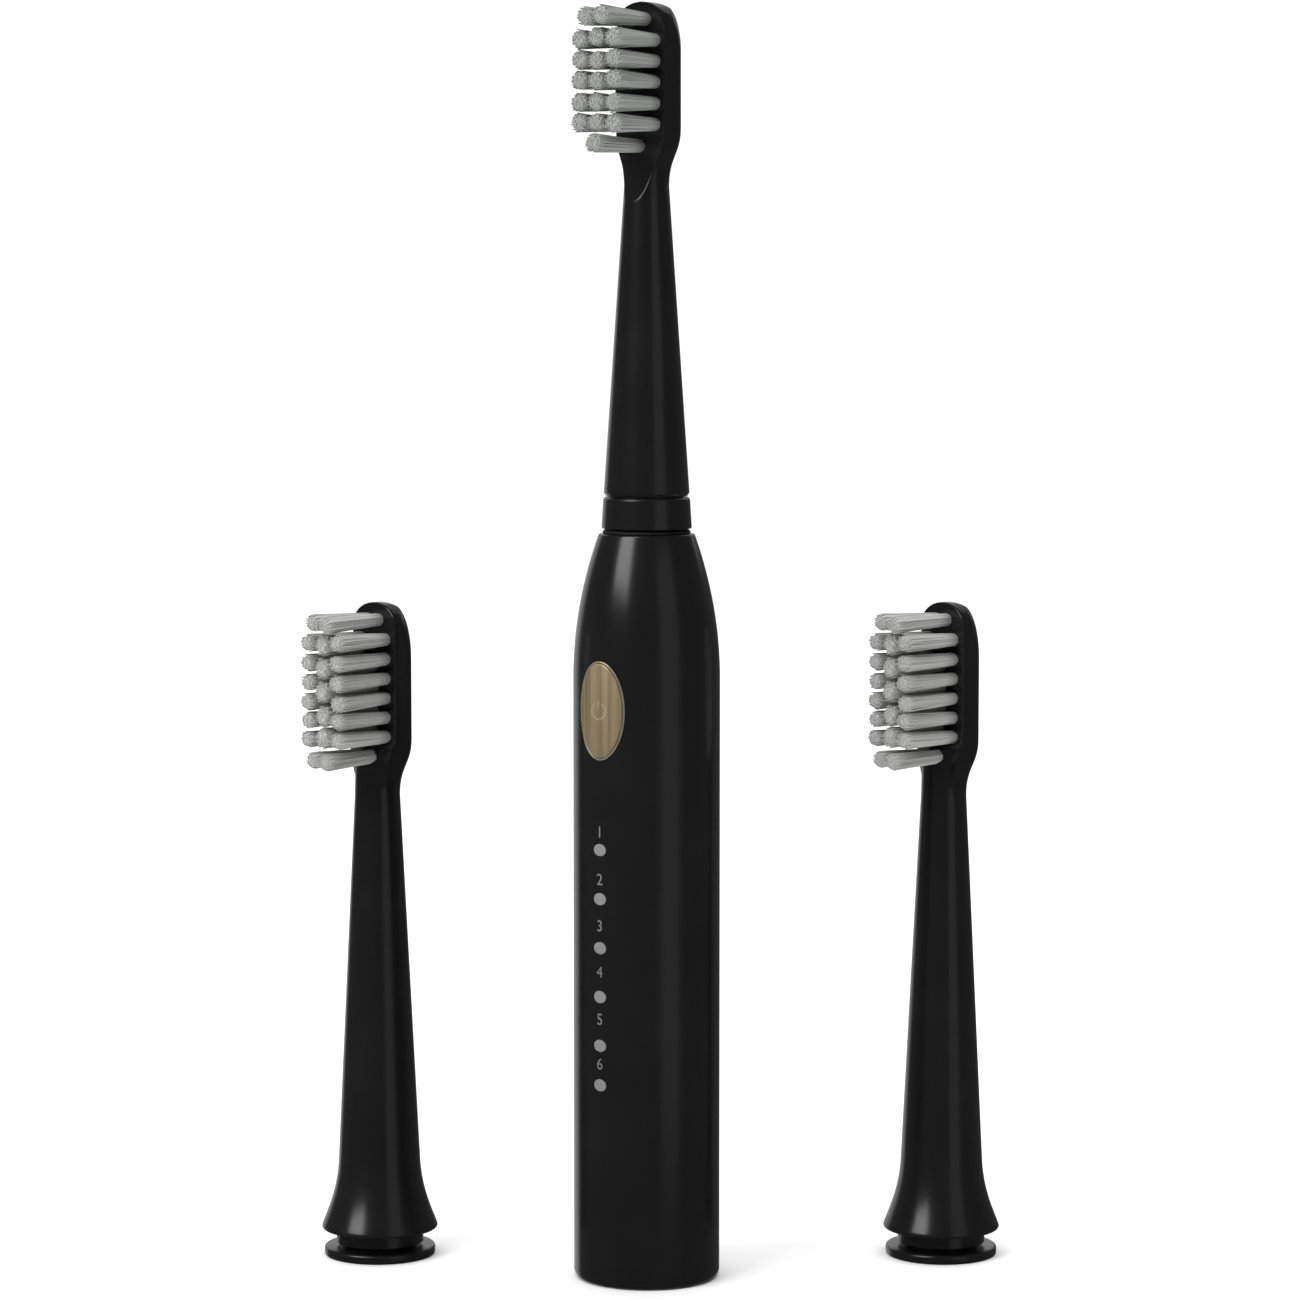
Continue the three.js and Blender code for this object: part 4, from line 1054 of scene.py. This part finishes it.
def spare_body(form):
    """A spare head's moulding: a recess round the spigot takes the ring and hides it."""
    recess = RING_LOW_RADIUS + SKIRT_RECESS_GAP
    mouth = recess + SKIRT_RECESS_CHAMFER
    hollow = turned("hollow", [
        (SPIGOT_RADIUS, -1), (mouth, -1), (mouth, SKIRT_LOW),
        (recess, SKIRT_LOW + SKIRT_RECESS_CHAMFER),
        (recess, SKIRT_RECESS), (SPIGOT_RADIUS, SKIRT_RECESS), (SPIGOT_RADIUS, -1),
    ])
    combine(form, "DIFFERENCE", hollow)
    combine(form, "UNION", head_spigot(SKIRT_RECESS + 1))
    return combine(form, "DIFFERENCE", bore(), seat_for_pad(SPARE))


def pad(head, form):
    """The bristle carrier: a plate set into the face, flush with the slope at its foot."""
    inner = PAD_THICKNESS - head["face"]
    plate = prism("pad", pad_outline(head, PAD_MARGIN + PAD_GAP), inner, inner - 6)
    return combine(plate, "INTERSECT", form)


def ring():
    """The collar, with chamfered feet and a soft bevel at the top."""
    inner = SPIGOT_RADIUS + RING_SPIGOT_GAP
    foot = RING_FOOT_CHAMFER
    return turned("ring", [
        (inner, foot), (inner + foot, 0), (RING_LOW_RADIUS - foot, 0), (RING_LOW_RADIUS, foot),
        (RING_LOW_RADIUS - 0.01, 0.3), (RING_TOP_RADIUS + 0.02, RING_HEIGHT - 0.2),
        (RING_TOP_RADIUS + 0.01, RING_HEIGHT - 0.05), (RING_TOP_RADIUS - 0.05, RING_HEIGHT + 0.08),
        (RING_TOP_RADIUS - RING_BEVEL, RING_HEIGHT + RING_BEVEL),
        (inner, RING_HEIGHT + RING_BEVEL), (inner, foot),
    ])


def insert():
    """The sleeve inside a head, with a key in its bore for the flat of the shaft."""
    roof = INSERT_LENGTH - INSERT_ROOF
    mouth, shaved = INSERT_BORE + INSERT_LEAD, INSERT_RADIUS - INSERT_CHAMFER
    sleeve_body = turned("insert", [
        (mouth, SPIGOT_FOOT), (shaved, SPIGOT_FOOT), (INSERT_RADIUS, SPIGOT_FOOT + INSERT_CHAMFER),
        (INSERT_RADIUS, INSERT_LENGTH - INSERT_CHAMFER), (shaved, INSERT_LENGTH),
        (0, INSERT_LENGTH), (0, roof), (INSERT_BORE, roof),
        (INSERT_BORE, SPIGOT_FOOT + INSERT_LEAD), (mouth, SPIGOT_FOOT),
    ], SMALL_SIDES)
    key = block(
        "key", (-INSERT_BORE, -INSERT_BORE - KEY_GAP, roof - SHAFT_FLAT_LENGTH),
        (INSERT_BORE, -SHAFT_FLAT - KEY_GAP, roof + 0.5),
    )
    return combine(sleeve_body, "UNION", key)


# Bristles


def note(piece, name, values):
    """Stores a number at each point of a piece, for its material."""
    layer = piece.data.attributes.new(name, "FLOAT", "POINT")
    layer.data.foreach_set("value", values)


def filament(length, bend):
    """One filament along -Y from the origin, with a rounded tip."""
    piece = upright_circle("filament", FILAMENT_SIDES, FILAMENT_RADIUS)
    straight = length - sum(rise for rise, _ in FILAMENT_TIP)
    for share in (0.25, 0.75):
        step = (bend * share, -straight / 2, 0)
        bpy.ops.mesh.extrude_region_move(TRANSFORM_OT_translate={"value": step})
    end = (bend, -length, 0)
    for step, size in FILAMENT_TIP:
        bpy.ops.mesh.extrude_region_move(TRANSFORM_OT_translate={"value": (0, -step, 0)})
        bpy.ops.transform.resize(value=(size, 1, size), center_override=end)
    bpy.ops.mesh.edge_face_add()
    tidy_mesh()
    stop()
    return piece


def tuft(length, tall, tip_radius, chance):
    """A tuft of filaments round a fuller core, along -Y from its foot at the origin."""
    core_length = length - CORE_SHORT
    core = turned("tuft", [
        (0, 0), (TUFT_BASE - 0.06, 0), (tip_radius - 0.14, core_length - TUFT_DOME),
        (tip_radius - 0.35, core_length - 0.35), (tip_radius - 0.8, core_length), (0, core_length),
    ], TUFT_SIDES)
    start(core)
    bpy.ops.transform.resize(value=(TUFT_WIDEN, tall, 1), center_override=(0, 0, 0))
    stop()
    core.rotation_euler = (math.pi / 2, 0, 0)
    pick(core)
    bpy.ops.object.transform_apply(rotation=True)
    # The core's dark tone paints the shade among the filaments inside the tuft.
    note(core, "tone_and_core_shade", [CORE_SHADE_TONE] * len(core.data.vertices))
    patterns = [filament(length, bend) for bend in FILAMENT_BENDS]
    wide, high = TUFT_BASE * TUFT_WIDEN, TUFT_BASE * tall
    pieces = [core]
    for i in range(FILAMENTS):
        share = math.sqrt((i + 0.5) / FILAMENTS)
        turn = i * GOLDEN_ANGLE + chance.uniform(-0.15, 0.15)
        foot = Vector((wide * math.cos(turn), 0, high * math.sin(turn)))
        tip = foot * (tip_radius / TUFT_BASE) * share * chance.uniform(0.95, 1.05)
        foot = foot * share * 0.96
        drop = TUFT_DOME * max(0, (share - 0.55) / 0.45) ** 2 * 0.8 + chance.uniform(0, 0.22)
        way = Vector((tip.x - foot.x, -length, tip.z - foot.z)).normalized()
        made = copy_of(chance.choice(patterns), "filament")
        spin = Matrix.Rotation(chance.uniform(0, 2 * math.pi), 4, "Y")
        lean = Vector((0, -1, 0)).rotation_difference(way).to_matrix().to_4x4()
        shrink = Matrix.Diagonal((1, (length - drop) / length, 1, 1))
        made.data.transform(Matrix.Translation(foot) @ lean @ shrink @ spin)
        shade = chance.uniform(0.2, 1)
        note(made, "tone_and_core_shade", [shade] * len(made.data.vertices))
        pieces.append(made)
    for pattern in patterns:
        bpy.data.objects.remove(pattern)
    pick(*pieces)
    bpy.ops.object.join()
    note(core, "along", [min(1, max(0, -v.co.y / (length - 0.15))) for v in core.data.vertices])
    return core


def tuft_places(head):
    """(x, height, sideways lean, extra length, is in the middle column) of each tuft."""
    last = len(head["rows"]) - 1
    for row, count in enumerate(head["rows"]):
        at_end = row in (0, last)
        spacing, fan = head["column"], head["fan"]
        if count == 2 and at_end:
            spacing, fan = 2 * PAIR_COLUMN, 2 * PAIR_FAN
        gap = 2 if count == 2 and not at_end else 1
        for column in range(count):
            offset = gap * (column - (count - 1) / 2)
            yield offset * spacing, row_height(head, row), offset * fan, at_end, False
    middle = (row_height(head, 1) + row_height(head, last - 1)) / 2
    for i in range(head["middle"]):
        offset = i - (head["middle"] - 1) / 2
        yield 0, middle + offset * MIDDLE_PITCH, 0, False, True


def bristles(head, chance):
    """All the tufts of a head, copied from a few different ones."""
    length, tip = head["tuft"], head["tip"]
    plain = [tuft(length, 1, tip, chance) for _ in range(3)]
    longer = [tuft(length + END_EXTRA, 1, tip, chance) for _ in range(2)]
    tall = [tuft(length, MIDDLE_TALL, tip, chance)] if head["middle"] else []
    pieces = []
    for x, height, lean, at_end, in_middle in tuft_places(head):
        source = tall[0] if in_middle else chance.choice(longer if at_end else plain)
        made = copy_of(source, "tuft")
        angle = -math.atan2(lean, length) + chance.uniform(-TUFT_SWAY, TUFT_SWAY)
        tip_up = chance.uniform(-TUFT_NOD, TUFT_NOD)
        half_turn = math.pi * chance.randrange(2)
        place = Matrix.Translation((x, TUFT_SUNK - head["face"], height))
        turn = Matrix.Rotation(-angle, 4, "Z") @ Matrix.Rotation(tip_up, 4, "X")
        made.data.transform(place @ turn @ Matrix.Rotation(half_turn, 4, "Y"))
        pieces.append(made)
    for source in plain + longer + tall:
        bpy.data.objects.remove(source)
    pick(*pieces)
    bpy.ops.object.join()
    return pieces[0]


def stand():
    """A spare head's foot: a round plate with a low step and a spigot."""
    low, high, thick = STAND_FOOT_ROUND, STAND_TOP_ROUND, STAND_THICKNESS
    edge = arc(STAND_RADIUS - low, low, low, low, -90, 0, 5)
    edge += arc(STAND_RADIUS - high, thick - high, high, high, 0, 90, 6)
    top = thick + STEP
    end = top + STAND_SPIGOT_LENGTH
    spigot, chamfer = STAND_SPIGOT_RADIUS, STAND_SPIGOT_CHAMFER
    return turned("stand", [
        (0, 0), *edge, (STEP_RADIUS + 0.1, thick), (STEP_RADIUS, thick + 0.1),
        (STEP_RADIUS, top - STEP_EDGE), (STEP_RADIUS - STEP_EDGE, top),
        (spigot + STEP_EDGE, top), (spigot, top + STEP_EDGE),
        (spigot, end - chamfer), (spigot - chamfer, end), (0, end),
    ])


def place_head(prefix, body, parts, turn, at):
    """Settles one head's body, carrier, ring, insert and bristles on their CAD body."""
    form, carrier, collar, sleeve_piece, tufts = parts
    for piece, name, finish, slot, node in (
        (form, "moulding", head_black, "satin_black_shell", (prefix or "brush_") + "head_body"),
        (carrier, "bristle_plate", head_black, "black_moulding", None),
        (collar, "collar", ring_black, "black_moulding", prefix + "head_ring"),
        (sleeve_piece, "sleeve", white_acetal, "white_moulding", prefix + "head_insert"),
        (tufts, "tufts", nylon_painted_lighter if prefix else nylon, "nylon_bristle", prefix + "head_bristles"),
    ):
        piece.name = (prefix or "brush_") + "head_" + name
        settle(piece, turn, at)
        dress(piece, finish, body, slot, *([node] if node else []))


def build_heads():
    """The fitted head, then one spare head that is copied to each stand."""
    chance = random.Random(11)
    form = head_form(FITTED, fitted_foot())
    plate = pad(FITTED, copy_of(form, "pad_form"))
    fitted = (fitted_body(form), plate, ring(), insert(), bristles(FITTED, chance))
    form = head_form(SPARE, skirt_foot())
    plate = pad(SPARE, copy_of(form, "pad_form"))
    spare = (spare_body(form), plate, ring(), insert(), bristles(SPARE, chance))
    place_head("", "fitted_head", fitted, HANDLE_TURN, (0, 0, FITTED_LIFT))
    for side, spare_turn in (("left", LEFT_TURN), ("right", RIGHT_TURN)):
        prefix = "spare_%s_" % side
        x, y = box_centre(prefix + "stand")
        copies = [copy_of(piece, piece.name) for piece in spare]
        place_head(prefix, prefix + "head", copies, spare_turn, (x, y, SPARE_LIFT))
        foot = stand()
        foot.name = prefix + "foot"
        settle(foot, 0, (x, y, 0))
        dress(foot, ring_black, "handle", "black_moulding", prefix + "stand")
    for piece in spare:
        bpy.data.objects.remove(piece)


build_shell()
build_cap()
build_button()
build_trim()
build_lenses()
build_numbers()
build_seal()
build_shaft()
build_heads()

# CAD nodes that keep their own shape
INNER_FINISHES = {
    rubber: ["cap_o_ring", "button_membrane", "light_shield", "rear_damper", "front_damper"],
    white_acetal: ["chassis", "switch_plunger", "motor_end_cap", "coil_bobbin", "seal_clip"],
    copper: ["receiver_coil", "stator_winding"],
    ferrite: ["ferrite_disc", "rotor_magnet_north", "rotor_magnet_south"],
    shrink_film: ["battery_cell"],
    laminate_green: ["circuit_board"],
    ring_black: ["tact_switch"],
    steel: [
        "battery_tab_lower", "battery_tab_upper", "board_screw_left", "board_screw_right",
        "motor_can", "rear_bearing", "front_bearing", "return_spring", "rotor_core",
    ],
}
for finish, names in INNER_FINISHES.items():
    for name in names:
        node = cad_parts[name]
        node.data.materials.clear()
        node.data.materials.append(finish)


# Studio, in metres

CAMERA_PLACE = (0.0006, -0.7357, 0.1787)
CAMERA_DIP = 5  # degrees that it looks down
CAMERA_LENS = 113.54  # millimetres
SOFTBOXES = {  # azimuth and rise in degrees, distance, width, height, and glow
    "key_softbox": (-50, 40, 3.2, 1.7, 2.43, 5),
    "front_strip": (37.5, 6, 1.2, 0.66, 1.1, 0.28),
    "back_panel": (-164, 4, 1.3, 1.38, 1.6, 0.62),
    "back_card": (148, 28, 1.3, 0.8, 0.95, 0.4),
}
SOFTBOX_AIM = (0, 0, 0.12)
OVERHEAD_GLOW = 3.62
OVERHEAD_SPREAD = 80  # degrees
OVERHEAD_TILT = 6
ROOM_GLOW = 0.08
BACKDROP_GLOW = 1.1  # of the room where the camera looks straight at it
FLOOR_SIZE = 8


def softbox(name, azimuth, rise, distance, width, height, glow):
    """A soft area light, placed by its bearing from the front, left negative."""
    a, e = math.radians(azimuth), math.radians(rise)
    way = Vector((math.sin(a) * math.cos(e), -math.cos(a) * math.cos(e), math.sin(e)))
    light = bpy.data.lights.new(name, "AREA")
    light.shape = "RECTANGLE"
    light.size, light.size_y = width, height
    light.energy = glow * math.pi * width * height
    lamp = bpy.data.objects.new(name, light)
    bpy.context.scene.collection.objects.link(lamp)
    lamp.location = Vector(SOFTBOX_AIM) + way * distance
    lamp.rotation_euler = way.to_track_quat("Z", "Y").to_euler()
    lamp.visible_camera = False


def build_studio():
    scene = bpy.context.scene
    scene.view_settings.view_transform = "Standard"
    for name, place in SOFTBOXES.items():
        softbox(name, *place)
    sun = bpy.data.lights.new("overhead", "SUN")
    sun.energy = OVERHEAD_GLOW
    sun.angle = math.radians(OVERHEAD_SPREAD)
    lamp = bpy.data.objects.new("overhead", sun)
    scene.collection.objects.link(lamp)
    lamp.rotation_euler = (-math.radians(OVERHEAD_TILT), 0, 0)
    lamp.visible_glossy = False

    world = bpy.data.worlds.new("studio")
    world.use_nodes = True
    scene.world = world
    tree = world.node_tree
    rays = add(tree, "ShaderNodeLightPath").outputs["Is Camera Ray"]
    room, backdrop = [
        add(tree, "ShaderNodeBackground", {"Color": (1, 1, 1, 1), "Strength": glow}).outputs[0]
        for glow in (ROOM_GLOW, BACKDROP_GLOW)
    ]
    mixed = add(tree, "ShaderNodeMixShader", {0: rays, 1: room, 2: backdrop}).outputs[0]
    tree.links.new(mixed, tree.nodes["World Output"].inputs["Surface"])

    bpy.ops.object.select_all(action="DESELECT")
    bpy.ops.mesh.primitive_plane_add(size=FLOOR_SIZE)
    floor = bpy.context.object
    floor.name = "studio_floor"
    material, floor_tree, shader = new_finish("pale_floor")
    set_up(floor_tree, shader, base_color=srgb("#f4f4f4"), roughness=0.7)
    floor.data.materials.append(material)
    floor.visible_glossy = False

    camera = bpy.data.cameras.new("camera")
    camera.lens = CAMERA_LENS
    camera.sensor_width = 36
    camera.clip_start = 0.05
    viewer = bpy.data.objects.new("camera", camera)
    scene.collection.objects.link(viewer)
    viewer.location = CAMERA_PLACE
    viewer.rotation_euler = (math.radians(90 - CAMERA_DIP), 0, 0)
    scene.camera = viewer


build_studio()
